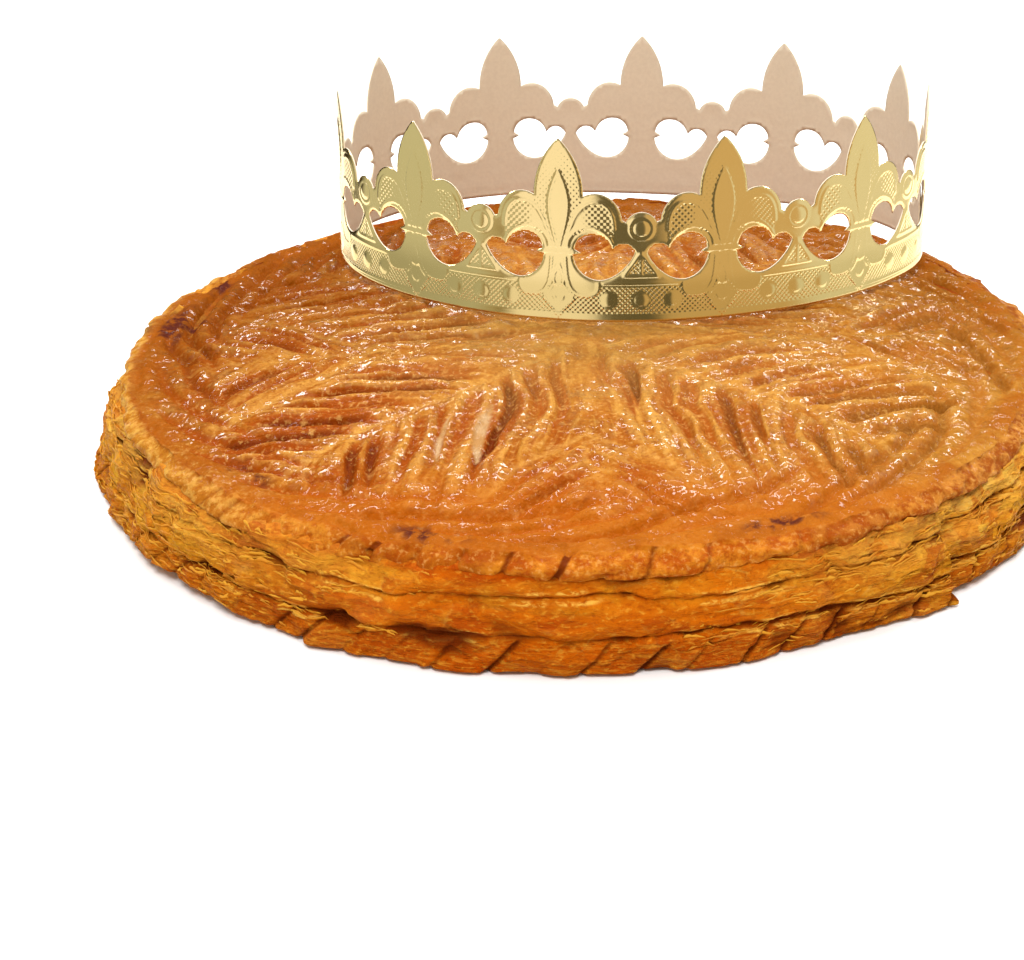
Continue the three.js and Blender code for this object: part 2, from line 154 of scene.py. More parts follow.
def noise(x, y, seed=0, cells=None):
    """Smooth noise from -1 to 1. With cells, x repeats after that many."""
    column, row = np.floor(x), np.floor(y)
    across, up = x - column, y - row
    across = across * across * (3 - 2 * across)
    up = up * up * (3 - 2 * up)
    after = column + 1
    if cells:
        column = np.mod(column, cells)
        after = np.mod(after, cells)
    low = lattice(column, row, seed) * (1 - across) + lattice(after, row, seed) * across
    high = lattice(column, row + 1, seed) * (1 - across) + lattice(after, row + 1, seed) * across
    return 2 * (low * (1 - up) + high * up) - 1


def rough(x, y, seed, octaves=4):
    """Noise with finer noise on it, from about -1 to 1."""
    total, weight, scale = 0.0, 0.55, 1.0
    for octave in range(octaves):
        total = total + weight * noise(x * scale, y * scale, seed + 17 * octave)
        weight *= 0.55
        scale *= 2.03
    return total


def ring_noise(azimuth, level, cells, seed):
    """Noise around the galette, with a number of cells in one turn."""
    return noise(azimuth / TURN * cells, level, seed, cells)


def ring_rough(azimuth, level, waves):
    """Noise around the galette, summed from waves: how much, how high, cells in a turn, seed."""
    return sum(amount * ring_noise(azimuth, level / high, cells, seed) for amount, high, cells, seed in waves)


def turn_between(azimuth, other):
    return np.arctan2(np.sin(azimuth - other), np.cos(azimuth - other))


def near(azimuth, degrees, width):
    """1 at an azimuth, falling to 0 past a width in degrees on either side."""
    return np.exp(-((turn_between(azimuth, math.radians(degrees)) / math.radians(width)) ** 2))


def polar(radius, azimuth, height=0.0):
    """Points from radii, azimuths and heights."""
    return np.stack([radius * np.cos(azimuth), radius * np.sin(azimuth), height + np.zeros_like(azimuth)], -1)


def plates(x, y, seed, cells=None):
    """Splits the plane into irregular plates, about one to a unit square. Gives the distance
    to the nearest border and a chance value for the plate."""
    column, row = np.floor(x), np.floor(y)
    nearest = np.full(x.shape, FAR)
    second = np.full(x.shape, FAR)
    key = np.zeros(x.shape)
    for aside in (-1, 0, 1):
        for above in (-1, 0, 1):
            place = np.mod(column + aside, cells) if cells else column + aside
            middle_x = column + aside + 0.1 + 0.8 * lattice(place, row + above, seed)
            middle_y = row + above + 0.1 + 0.8 * lattice(place, row + above, seed + 1)
            away = np.hypot(x - middle_x, y - middle_y)
            closer = away < nearest
            second = np.where(closer, nearest, np.minimum(second, away))
            key = np.where(closer, lattice(place, row + above, seed + 2), key)
            nearest = np.minimum(nearest, away)
    return second - nearest, key


# ---- meshes ----

def mesh_piece(name, points, faces, materials, values=None, flat=None, slots=None):
    """Makes an object from points in millimetres, with one number per point in each of values."""
    mesh = bpy.data.meshes.new(name)
    mesh.from_pydata((np.asarray(points) * MM).tolist(), [], faces)
    mesh.polygons.foreach_set("use_smooth", np.ones(len(mesh.polygons), bool))
    if slots is not None:
        mesh.polygons.foreach_set("material_index", np.asarray(slots, np.int32))
    for key, numbers in (values or {}).items():
        attribute = mesh.attributes.new(key, "FLOAT", "POINT")
        attribute.data.foreach_set("value", np.asarray(numbers, np.float32))
    if flat is not None:
        layer = mesh.uv_layers.new(name="flat")
        corners = np.empty(len(mesh.loops), np.int32)
        mesh.loops.foreach_get("vertex_index", corners)
        layer.data.foreach_set("uv", np.asarray(flat, np.float32)[corners].ravel())
    for material in materials:
        mesh.materials.append(material)
    mesh.update()
    piece = bpy.data.objects.new(name, mesh)
    bpy.context.scene.collection.objects.link(piece)
    return piece


def ring_faces(first, second, columns):
    """Quads between two closed rings of points, given the index of each ring's first point."""
    here = np.arange(columns)
    after = (here + 1) % columns
    return np.stack([first + here, first + after, second + after, second + here], 1).tolist()


def halving_faces(first, second, columns):
    """Triangles from a ring of points to an inner ring with half as many."""
    faces = []
    inner = columns // 2
    for column in range(inner):
        here, middle = first + 2 * column, first + 2 * column + 1
        after = first + (2 * column + 2) % columns
        near_side, far_side = second + column, second + (column + 1) % inner
        faces += [(here, middle, near_side), (middle, far_side, near_side), (middle, after, far_side)]
    return faces


def cap_faces(ring, centre, columns):
    here = np.arange(columns)
    after = (here + 1) % columns
    return np.stack([ring + here, ring + after, np.full(columns, centre)], 1).tolist()


class Rings:
    """Rings of points, each with its marks, that close up to a piece."""

    def __init__(self, marks):
        self.points = []
        self.spans = []  # each ring's first point, and how many it has
        self.marks = {mark: [] for mark in marks}

    def add(self, points, marks):
        """Adds a ring. A mark that isn't given is 0."""
        first, size = self.spans[-1] if self.spans else (0, 0)
        self.spans.append((first + size, len(points)))
        self.points.append(points)
        for mark, numbers in self.marks.items():
            numbers.append(np.broadcast_to(marks.get(mark, 0.0), len(points)))

    def piece(self, name, material):
        """Makes the piece. The last two points added close its last ring and its first."""
        *rings, (last_end, _), (first_end, _) = self.spans
        faces = []
        for (first, here), (second, after) in zip(rings[:-1], rings[1:]):
            faces += ring_faces(first, second, here) if here == after else halving_faces(first, second, here)
        faces += cap_faces(rings[-1][0], last_end, rings[-1][1])
        faces += [face[::-1] for face in cap_faces(rings[0][0], first_end, rings[0][1])]
        values = {mark: np.concatenate(numbers) for mark, numbers in self.marks.items()}
        return mesh_piece(name, np.concatenate(self.points), faces, [material], values)


# ---- crown's path ----

def oval_radius(angle):
    radius = 1 / np.hypot(np.cos(angle) / CROWN_HALF_WIDTH, np.sin(angle) / CROWN_HALF_DEPTH)
    for waves, cosine, sine in CROWN_SWAY:
        radius = radius + cosine * np.cos(waves * angle) + sine * np.sin(waves * angle)
    return radius


def oval_point(angle):
    radius = oval_radius(angle)
    return radius * np.cos(angle), radius * np.sin(angle)


OVAL_SAMPLES = 1440
oval_angles = np.linspace(0, TURN, OVAL_SAMPLES + 1)
oval_x, oval_y = oval_point(oval_angles)
oval_lengths = np.concatenate([[0], np.cumsum(np.hypot(np.diff(oval_x), np.diff(oval_y)))])
OVAL_LENGTH = oval_lengths[-1]


def lift_at(along, height):
    """How far the strip stands off the oval near its outer end, most at the petals."""
    ramp_end = STRIP_START + OVAL_LENGTH - 1
    rise = smoothstep(along, ramp_end - OVERLAP_RAMP, ramp_end)
    flare_start = STRIP_END - 13
    flare = smoothstep(along, flare_start, flare_start + FLARE_LENGTH)
    return rise * (CARD + OVERLAP_GAP) + flare * END_FLARE * (0.35 + 0.65 * smoothstep(height, 8, 30))


crown_turn = Matrix.Rotation(CROWN_LEAN_RIGHT, 3, "Y") @ Matrix.Rotation(-CROWN_LEAN_BACK, 3, "X")
CROWN_UP = crown_turn @ Vector((0, 0, 1))


def card_points(along, height, offset):
    """Points on the bent card, from lengths along the strip, heights and outward offsets."""
    length = np.mod(along + FIRST_FLEUR, OVAL_LENGTH)
    angle = np.interp(length, oval_lengths, oval_angles)
    x, y = oval_point(angle)
    x1, y1 = oval_point(angle + 0.002)
    x0, y0 = oval_point(angle - 0.002)
    size = np.hypot(x1 - x0, y1 - y0)
    normal_x, normal_y = (y1 - y0) / size, -(x1 - x0) / size
    out = offset + lift_at(along, height)
    local = np.stack([x + normal_x * out, y + normal_y * out, height], 1)
    return local @ np.array(crown_turn).T + np.array(CROWN_CENTRE)


def band_ceiling(x, y):
    """The highest the crust may stand at a point, just under the crown's lower edge."""
    dx, dy = x - CROWN_CENTRE[0], y - CROWN_CENTRE[1]
    slope = (dx * CROWN_UP.x + dy * CROWN_UP.y) / CROWN_UP.z
    away = np.abs(np.hypot(dx, dy) - oval_radius(np.arctan2(dy, dx)))
    return CROWN_CENTRE[2] - slope - BAND_CLEARANCE + np.maximum(0, away - 5) * 0.2


# ---- galette's outline ----

def crest_radius(azimuth):
    oval = 1.5 * np.sin(azimuth) - 2.5 * np.cos(2 * azimuth)
    return CREST_RADIUS + oval + 0.7 * wander(azimuth, 1)


def crest_height(azimuth):
    return CREST_HEIGHT - CREST_TILT * np.sin(azimuth) + 0.35 * wander(azimuth, 2)


def pleat(azimuth):
    """How far the side steps in past a pleat, and stands out before it (negative)."""
    past = turn_between(azimuth, PLEAT_AZIMUTH)
    before = -PLEAT_FLARE * np.clip(1 + past / 0.5, 0, 1) ** 2
    return np.where(past < 0, before, PLEAT_DEPTH * np.clip(1 - past / 0.35, 0, 1))


def foot_radius(azimuth):
    return FOOT_RADIUS + 0.9 * wander(azimuth, 3) - pleat(azimuth)


def foot_lift(azimuth):
    return LIFT_HEIGHT * np.exp(-((turn_between(azimuth, LIFT_AZIMUTH) / 0.26) ** 2))


def dome_height(x, y):
    azimuth = np.arctan2(y, x)
    share = np.hypot(x, y) / crest_radius(azimuth)
    hollow = crest_height(azimuth) - GUTTER_DROP
    inner = np.minimum(share / GUTTER, 1)
    level = CREST_HEIGHT - GUTTER_DROP + (hollow - CREST_HEIGHT + GUTTER_DROP) * inner ** 2
    puff = 0.35 * np.sin(x / 11 + 1.3) * np.sin(y / 13 + 0.4) * (1 - inner)
    dome = level + DOME_RISE * (1 - inner ** 2) ** 0.8 + puff
    rim = hollow + GUTTER_DROP * smoothstep(share, GUTTER, 1)
    return np.where(share > GUTTER, rim, dome)


def leaning_radius(azimuth, height):
    """Radius of the side at a height: upright low down, leaning in towards the lip."""
    share = np.clip(height / crest_height(azimuth), 0, 1)
    foot = foot_radius(azimuth)
    lip = crest_radius(azimuth) + LIP_ROLL - 0.7
    return foot + (lip - foot) * share ** 1.8


# ---- rosette ----

def ridge(distance, half):
    return np.exp(-((distance / half) ** 2))


def leaf_frame(x, y, start, axis):
    """Distance along a leaf from its start, and across it."""
    turn = math.radians(axis)
    along = (x - start[0]) * math.cos(turn) + (y - start[1]) * math.sin(turn)
    across = -(x - start[0]) * math.sin(turn) + (y - start[1]) * math.cos(turn)
    return along, across


def stroke(distance, before, after, fall_before=2.0, fall_after=2.0):
    """Depth of a knife stroke at a distance from its line, with its reach before and after it."""
    behind = distance < 0
    reach = np.where(behind, before, after)
    return np.exp(-np.abs(distance / reach) ** np.where(behind, fall_before, fall_after))


def cuts_beside(along, across, border, leaf, slants, step, bend, first, longest):
    """Knife cuts on both sides of a leaf's middle, with shorter ones between them: their depth,
    the swell of crust between them, fine streaks that run with them, the place across and along
    those streaks, and how clear the streaks are."""
    left = across >= 0
    out = np.abs(across)
    slant = np.where(left, *slants)
    travelled = along - slant * out - bend * out ** 2 - first + np.where(left, 0.0, 0.45 * step)
    lean = 1 / np.hypot(1, slant + bend * out)
    number = np.round(travelled / step)
    key = leaf * 97 + number * 11 + left * 3
    tilt = 0.3 * (chance(key + 7) - 0.5) * (out - 18)
    off_line = travelled - (number + 0.4 * (chance(key + 5) - 0.5)) * step + tilt
    length = longest * (0.55 + 0.6 * chance(key + 1))
    taper = smoothstep(out, 0.3, 9) * smoothstep(border, 0.5, 8) * fading(out, 0.55 * length, length)
    strength = 0.35 + 0.85 * chance(key + 2)
    half = (1.3 + 1.2 * chance(key + 3)) * (0.3 + 0.7 * taper)
    cut = stroke(off_line * lean, 1.7 * half, 0.55 * half, 1.5, 2.6) * taper * strength
    lower = np.floor(travelled / step)
    key = leaf * 61 + lower * 13 + left * 5
    off_short = travelled - (lower + 0.5 + 0.24 * (chance(key + 5) - 0.5)) * step
    start, end = 2 + 9 * chance(key + 6), longest * (0.35 + 0.5 * chance(key + 7))
    short = smoothstep(out, start, start + 7) * smoothstep(border, 0.5, 7) * fading(out, 0.6 * end, end)
    cut = np.maximum(cut, short * (0.2 + 0.6 * chance(key + 8)) * stroke(off_short * lean, 1.9, 0.7))
    swell = (0.5 - 0.5 * np.cos(TURN * off_line / step)) * smoothstep(out, 0, 5) * smoothstep(border, 0, 5)
    streak = noise(travelled / 2.1 + leaf * 31, out / 13, 80 + leaf)
    streak = streak + 0.8 * noise(travelled / 1.15, out / 8, 90 + leaf)
    wanted = np.where(number >= 0, 1.0, 0.0)
    clear = smoothstep(np.minimum(out, border), 0.3, 3.0)
    return np.stack([cut * wanted, swell * wanted, streak, travelled * lean + 67 * leaf, out, clear])


def rosette(x, y):
    """Cuts, swells between them, streaks along them, pale seams along and between leaves,
    and the place across and along the streaks, with how clear they are."""
    marks = np.zeros((6, *x.shape))
    seam = np.zeros_like(x)
    filled = np.zeros(x.shape, bool)
    wedge = np.full(x.shape, FAR)
    for leaf, axis in enumerate(FILL_AXES):
        turn = math.radians(axis)
        start = (ROSETTE[0] + FILL_START * math.cos(turn), ROSETTE[1] + FILL_START * math.sin(turn))
        along, across = leaf_frame(x, y, start, axis)
        inside = (along > 0) & (np.abs(np.arctan2(across, along)) < FILL_SPREAD)
        off = np.abs(across) * math.cos(FILL_SPREAD) - along * math.sin(FILL_SPREAD)
        off = np.where(along + np.abs(across) < 0, np.hypot(across, along), off)
        found = cuts_beside(along, across, -off, 40 + leaf, *FILL_CUTS)
        marks = np.where(inside, found * FILL_STRENGTH, marks)
        middle = ridge(across + 0.8 * np.sin(along / 9 + leaf), 1.2) * smoothstep(along, 2, 8) * inside
        seam = np.maximum(seam, np.maximum(ridge(off, 1.5), middle))
        wedge = np.where(inside, wedge, np.minimum(wedge, off))
        filled |= inside
    turns = np.arctan2(y - ROSETTE[1], x - ROSETTE[0])
    away = np.hypot(x - ROSETTE[0], y - ROSETTE[1])
    off_axis = np.min([np.abs(np.sin(turn_between(turns, math.radians(a)))) for a in FILL_AXES], 0) * away
    border = np.minimum(wedge, np.where(away < FILL_START, off_axis, FAR))
    for leaf, (axis, *slants) in enumerate(LEAVES):
        along, across = leaf_frame(x, y, ROSETTE, axis)
        ahead = turn_between(math.radians(FILL_AXES[(leaf + 1) % len(FILL_AXES)]), turns)
        behind = turn_between(turns, math.radians(FILL_AXES[leaf]))
        inside = (ahead > 0) & (behind > 0) & ~filled
        found = cuts_beside(along, across, border, leaf, slants, *LEAF_CUTS)
        marks = np.where(inside, found, marks)
        middle = ridge(across + 1.4 * np.sin(along / 17 + leaf), 1.5) * smoothstep(along, 4, 14)
        seam = np.where(inside, np.maximum(seam, middle), seam)
    cut, swell, streak, run, aside, clear = marks
    fade = fading(np.hypot(x, y), CUT_REACH - 12, CUT_REACH)
    inner = fade * smoothstep(away, 5, 14)
    marks = {"cut": cut * inner, "swell": swell * inner, "streak": streak * fade, "seam": seam * inner}
    return {**marks, "run": run, "aside": aside, "clear": clear * fade}


EDGE = 125.0  # radius at which lengths along the rim are taken
RIM_NICK = 1.0  # half the width of a nick in the rim


def nick_marks(azimuth, height, half):
    """Knife nicks around the edge, leaning with height, up to 1.1 in their middle."""
    foot = SHEETS[0][1]
    run = FOOT_LEAN * np.minimum(height, foot) + SIDE_LEAN * np.maximum(0, height - foot)
    upright = azimuth - run / FOOT_RADIUS
    place = upright / TURN * NICKS - 0.5
    number = np.round(place)
    key = np.mod(number, NICKS)
    off = (place - number + 0.3 * (chance(key + 700) - 0.5)) * TURN / NICKS * FOOT_RADIUS
    strength = 0.25 + 0.85 * chance(key + 900)
    return ridge(off, half) * strength


def nicked_rim(azimuth):
    """How clear the nicks stay along the rim: most at the front left."""
    return np.clip(0.4 + 0.8 * near(azimuth, -102, 24) + 0.4 * near(azimuth, 80, 70), 0, 1.25)


SPLITS = [  # strokes that opened down to the pale dough: from, to, half width
    ((-36.0, -55.0), (-39.2, -80.5), 1.1),
    ((-24.8, -48.0), (-29.5, -80.0), 1.9),
]


def split_marks(x, y):
    total = np.zeros_like(x)
    for (x0, y0), (x1, y1), half in SPLITS:
        length = math.hypot(x1 - x0, y1 - y0)
        along = ((x - x0) * (x1 - x0) + (y - y0) * (y1 - y0)) / length ** 2
        across = ((x - x0) * (y1 - y0) - (y - y0) * (x1 - x0)) / length
        across = across - 1.2 * np.sin(math.pi * np.clip(along, 0, 1))
        wide = half * np.sin(math.pi * np.clip(along, 0, 1)) ** 0.7 + 0.01
        total = np.maximum(total, fading(np.abs(across) / wide, 0.6, 1.05))
    return total


def crust_height(x, y):
    """Height of the baked top, and the marks that colour it."""
    azimuth = np.arctan2(y, x)
    radius = np.hypot(x, y)
    warp_x = x + 2.2 * noise(x / 26, y / 26, 3) + 1.0 * noise(x / 9, y / 9, 4)
    warp_y = y + 2.2 * noise(x / 26, y / 26, 5) + 1.0 * noise(x / 9, y / 9, 6)
    marks = rosette(warp_x, warp_y)
    opening = split_marks(x, y)
    share = radius / crest_radius(azimuth)
    skin = rough(x / 6, y / 6, 11)
    blister = np.maximum(0, noise(x / 8, y / 8, 18) - 0.35) * 1.5
    crease, key = plates(warp_x / 13, warp_y / 13, 24)
    crease = ridge(crease, 0.06) * smoothstep(key, 0.3, 0.6)
    spiral = (azimuth + radius / SPIRAL_PITCH + 0.1 * noise(x / 22, y / 22, 33)) / TURN * SPIRALS
    number = np.round(spiral)
    strength = chance(np.mod(number, SPIRALS) + 300)
    groove = ridge(spiral - number, 0.24) * (0.25 + 0.9 * strength)
    groove = groove * smoothstep(radius, *SPIRAL_START) * fading(share, 0.94, 0.99)
    crest = smoothstep(share, 0.95, 1.0)
    edge = azimuth * EDGE
    crag = 0.8 * rough(edge / 6, radius / 2.6, 41) + 0.7 * noise(edge / 11, radius / 7, 47)
    relief = (
        -CUT_DEPTH * marks["cut"] * (1 - opening)
        + 0.75 * marks["swell"]
        - 0.35 * marks["seam"]
        - 1.0 * opening
        - SPIRAL_DEPTH * groove
        - 1.1 * smoothstep(share, 0.955, 1.005) ** 2
        + 0.24 * marks["streak"] * marks["clear"] * (1 - crest)
        + 0.45 * skin
        + 0.32 * rough(x / 2.4, y / 2.4, 13, 2)
        + 0.6 * blister
        - 0.5 * crease
        + crest * (crag - 1.2 * nick_marks(azimuth, CREST_HEIGHT, RIM_NICK) * nicked_rim(azimuth))
    )
    height = np.minimum(dome_height(x, y) + relief, band_ceiling(x, y))
    return height, {**marks, "cut": np.maximum(marks["cut"], groove), "opening": opening}


# ---- galette's lid: the glazed top with its rolled lip ----

LID_COLUMNS = 896
LID_RING_STEP = 0.92
LIP_STEPS = 13
LIP_TURN = math.radians(158)
LIP_THICK = 4.2
LIP_NICK = 1.3  # depth of a nick in the lip
LID_TUCK = [(-1.6, 5.6), (-7.0, 7.0)]  # out from the crest and down from it, hidden by the side
LID_MARKS = ("cut", "swell", "streak", "seam", "run", "aside", "clear", "opening", "rim", "burn")
LIP_CRAGS = [(1.3, 2.6, 120, 51), (0.65, 1.2, 400, 52)]
LIP_RAGS = [(0.9, 1, 34, 58), (0.5, 1, 90, 59)]
BURNS = [  # azimuth, width in degrees, distance inwards from the lip's edge, reach
    (166, 7, 6, 9),
    (-139, 4, 9, 5),
    (-109, 5, 4, 4),
    (-69, 5, 4, 3),
    (150, 3, 3, 4),
]


def lip_profile(share):
    """The lip from the crest (0) to its underside (1): how far out, and how far down."""
    turn = share * LIP_TURN
    return LIP_ROLL * np.sin(turn) ** 0.9, LIP_THICK / 2 * (1 - np.cos(turn))


def lip_drop(azimuth):
    """How much deeper than that the lip hangs: most at the front left."""
    return 1.2 + 0.4 * near(azimuth, -105, 45) + 0.18 * ring_noise(azimuth, 0, 22, 56)


def burn_spots(azimuth, out):
    """Dark spots on the rim, from the distance inwards from the lip's edge."""
    total = sum(near(azimuth, turn, width) * ridge(out - depth, reach) for turn, width, depth, reach in BURNS)
    return np.clip(total, 0, 1) * smoothstep(rough(azimuth * EDGE / 5, out / 4, 57), -0.35, 0.35)


def lip_ring(azimuth, share, crest_level):
    """Points of the lip at a share of its way under from the crest, its nicks, crags and burns."""
    base = crest_height(azimuth)
    out, down = lip_profile(share)
    down = down * lip_drop(azimuth)
    nick = nick_marks(azimuth, CREST_HEIGHT - down, RIM_NICK) * nicked_rim(azimuth)
    key = plates(azimuth / TURN * 75, down / 2.3, 54, 75)[1]
    crag = 0.8 * (key - 0.5) + ring_rough(azimuth, down, LIP_CRAGS)
    thick = 0.9 + 0.3 * ring_noise(azimuth, 3, 34, 55)
    rag = ring_rough(azimuth, 0, LIP_RAGS)
    radius = crest_radius(azimuth) + out * thick + min(1, 2.5 * share) * rag
    hug = leaning_radius(azimuth, base - down) + 1.5 - 1.9 * share ** 4
    radius = radius + (np.maximum(radius, hug) - radius) * smoothstep(share, 0.25, 0.6)
    radius = radius + math.sin(math.pi * min(1, share * 0.85)) * (crag - LIP_NICK * nick)
    sag = (0.4 * wander(azimuth, 9) + 0.6 * ring_noise(azimuth, 1, 40, 53) - 0.7) * share ** 2
    points = polar(radius, azimuth, base - down + sag + (crest_level - base) * (1 - share) ** 2)
    points[:, 2] = np.minimum(points[:, 2], band_ceiling(points[:, 0], points[:, 1]))
    return points, nick, crag, burn_spots(azimuth, -out)


def make_lid(material):
    rings = Rings(LID_MARKS)
    columns = LID_COLUMNS
    azimuth = np.arange(columns) / columns * TURN
    crest = crest_radius(azimuth)
    crest_level, crest_marks = crust_height(*polar(crest, azimuth)[:, :2].T)
    for out, down in reversed(LID_TUCK):
        rings.add(polar(crest + out, azimuth, crest_height(azimuth) - down), {"rim": 1.0})
    for step in range(LIP_STEPS, 0, -1):
        share = step / LIP_STEPS
        points, nick, crag, burn = lip_ring(azimuth, share, crest_level)
        marks = {**crest_marks, "cut": nick, "swell": 0.0, "streak": crag, "seam": 0.0}
        rings.add(points, {**marks, "rim": 1.0 + share, "burn": burn})
    mean = CREST_RADIUS
    while mean > 3 * LID_RING_STEP:
        if mean < 0.52 * CREST_RADIUS * columns / LID_COLUMNS and columns > 28:
            columns //= 2
            azimuth = azimuth[::2]
        share = mean / CREST_RADIUS
        points = polar(crest_radius(azimuth) * mean / CREST_RADIUS, azimuth)
        points[:, 2], marks = crust_height(points[:, 0], points[:, 1])
        burn = burn_spots(azimuth, CREST_RADIUS - mean)
        rings.add(points, {**marks, "rim": smoothstep(share, 0.90, 1.0), "burn": burn})
        mean -= LID_RING_STEP
    height, marks = crust_height(np.zeros(1), np.zeros(1))
    rings.add(np.array([[0, 0, height[0]]]), marks)
    rings.add(np.array([[0, 0, CREST_HEIGHT - LID_TUCK[-1][1]]]), {"rim": 1.0})
    return rings.piece("galette_lid", material)


# ---- galette's side: the stack of baked bands ----

SIDE_COLUMNS = 1120
SIDE_ROWS = 84
SIDE_TOP = 25.8
SIDE_SHELF = 24.0  # height of its hidden top, under the lid
FOOT_TUCK = 2.2  # how far its lowest millimetre turns in
TOP_TUCK = 1.8  # and its highest, behind the lip
SIDE_MARKS = ("relief", "level", "nick", "fringe")
LAMINA = 1.35  # thickness of the flaky layers that show at the side
HIDDEN = -1.5  # relief where nothing shows
FOOT_NICK = 0.85  # half the width of a nick in the foot
FOOT_NICK_DEPTH = 1.6
STRAYS = [(0.6, 1, 64, 62), (0.35, 1, 190, 63)]  # noise of the seams, in waves as ring_rough has them
WARPS = [(1.7, 11, 26, 71), (0.8, 4, 80, 72)]
CRAGS = [(0.45, 3.4, 150, 75), (0.24, 1.3, 420, 76)]
PUFFS = [(1.4, 8, 42, 77), (1.1, 4.5, 110, 78)]
SCOOPS = [  # azimuth, width in degrees, height, half of how high, depth
    (-106, 3.4, 8.0, 3.2, 2.6),
    (-118, 2.6, 7.0, 2.6, 2.08),
    (-99.5, 1.8, 11.5, 1.8, 1.56),
    (-30, 3.0, 12.0, 3.0, 2.08),
]


def seam_height(azimuth, layer):
    if layer == 0:
        return np.zeros_like(azimuth)
    stray = SEAM_WANDER * wander(azimuth, 5 + layer) + ring_rough(azimuth, layer, STRAYS)
    return SHEETS[layer - 1][1] + stray


def flakiness(azimuth):
    """How ragged the layers are: most at the left and right, least in front."""
    ragged = 0.5 + 0.25 * wander(azimuth, 61)
    ragged = ragged + 0.55 * near(azimuth, -150, 30) + 0.5 * near(azimuth, -38, 26)
    return np.clip(ragged - 0.3 * near(azimuth, -88, 26), 0.2, 1.2)


def band_bulge(azimuth, level):
    """How far the baked bands stand out at a level, with the hollows of the seams between them."""
    bulge = np.zeros_like(level)
    for layer, (_, _, reach, recess) in enumerate(SHEETS):
        low, high = seam_height(azimuth, layer), seam_height(azimuth, layer + 1)
        step = np.clip((level - low) / (high - low), 0, 1)
        hollow = (1 - np.sin(math.pi * step)) ** 1.7
        if layer == 0:
            hollow = np.where(step < 0.5, 0.25 * hollow, hollow)
        deep = 0.8 + 0.4 * ring_noise(azimuth, layer * 3 + np.round(step), 26, 70)
        here = (level >= low) & ((level < high) | (layer == len(SHEETS) - 1))
        bulge = np.where(here, reach - recess * deep * hollow, bulge)
    return bulge


def torn_fringe(azimuth, level):
    """Torn edges just above and below the two seams."""
    fringe = np.zeros_like(level)
    for layer in (1, 2):
        above = level - seam_height(azimuth, layer)
        torn = ring_noise(azimuth, layer * 5, 70, 88)
        torn = torn + 0.6 * ring_noise(azimuth, layer * 7 + above / 2, 260, 89)
        beside = ridge(above - 1.1, 0.55) + 0.9 * ridge(above + 1.2, 0.6)
        fringe = fringe + beside * smoothstep(torn, -0.2, 0.5)
    return fringe


def laminae(azimuth, level):
    """How far the thin flaky layers reach out with their grooves, and skins that cross them."""
    warped = level + ring_rough(azimuth, level, WARPS)
    place = warped / LAMINA
    plate = np.floor(place)
    reach = 0.6 * ring_noise(azimuth, plate * 7, 64, 73) + 0.4 * ring_noise(azimuth, plate * 5, 210, 74)
    groove = (2 * np.abs(place - plate - 0.5)) ** 3
    across = azimuth / TURN * 60 + 0.35 * ring_noise(azimuth, level / 4, 110, 86)
    border, key = plates(across, warped / 6.5 + 0.5 * noise(azimuth * 20, level / 6, 85), 87, 60)
    return 0.6 * reach - 0.3 * groove, 1.5 * (key - 0.5) * smoothstep(border, 0.0, 0.16)


def side_surface(azimuth, level):
    """Radius and height of the side at a level, and its relief, nicks and torn fringe."""
    bulge, fringe = band_bulge(azimuth, level), torn_fringe(azimuth, level)
    layers, skins = laminae(azimuth, level)
    ragged = layers + 1.3 * ring_rough(azimuth, level, CRAGS)
    nick = nick_marks(azimuth, level, FOOT_NICK) * fading(level, 7, 9) * (1 - 0.5 * near(azimuth, -150, 25))
    relief = flakiness(azimuth) * ragged + skins + ring_rough(azimuth, level, PUFFS)
    relief = relief - FOOT_NICK_DEPTH * nick + 0.35 * fringe
    for turn, wide, at, high, deep in SCOOPS:
        relief = relief - deep * near(azimuth, turn, wide) * ridge(level - at, high)
    lift = foot_lift(azimuth) * np.where(level < seam_height(azimuth, 1), 1.0, 0.4)
    height = level + lift * (1 - level / CREST_HEIGHT)
    radius = leaning_radius(azimuth, level) + bulge + relief
    return radius, height, relief + 0.8 * (bulge - 0.6), nick, fringe


def make_side(material):
    rings = Rings(SIDE_MARKS)
    azimuth = np.arange(SIDE_COLUMNS) / SIDE_COLUMNS * TURN
    blank = np.zeros(SIDE_COLUMNS)
    foot = foot_radius(azimuth) - FOOT_UNDERCUT - 1.6 * foot_lift(azimuth)
    rings.add(polar(foot, azimuth, blank), {"relief": HIDDEN})
    for row in range(1, SIDE_ROWS + 1):
        level = blank + row / SIDE_ROWS * SIDE_TOP
        radius, height, relief, nick, fringe = side_surface(azimuth, level)
        radius = radius - FOOT_TUCK * fading(level, 0, 1.2) - TOP_TUCK * smoothstep(level, 24.4, SIDE_TOP)
        marks = {"relief": relief, "level": level, "nick": nick, "fringe": fringe}
        rings.add(polar(radius, azimuth, height), marks)
    shelf = polar(crest_radius(azimuth) - 5, azimuth, blank + SIDE_SHELF)
    rings.add(shelf, {"relief": HIDDEN, "level": SIDE_SHELF})
    for height in (SIDE_SHELF, 0.0):
        rings.add(np.array([[0, 0, height]]), {"relief": HIDDEN})
    return rings.piece("galette_side", material)


# ---- shards of crust that peel off the side ----

FLAKES = 1500
FLAKE_COLUMNS, FLAKE_ROWS = 8, 3
FLAKE_SHAPE = np.array([
    (s, t) for t in np.linspace(0, 1, FLAKE_ROWS) for s in np.linspace(-1, 1, FLAKE_COLUMNS)
])
FLAKE_THICKNESS = 0.14
FLAKE_SINK = 0.12  # how far its foot lies in the side


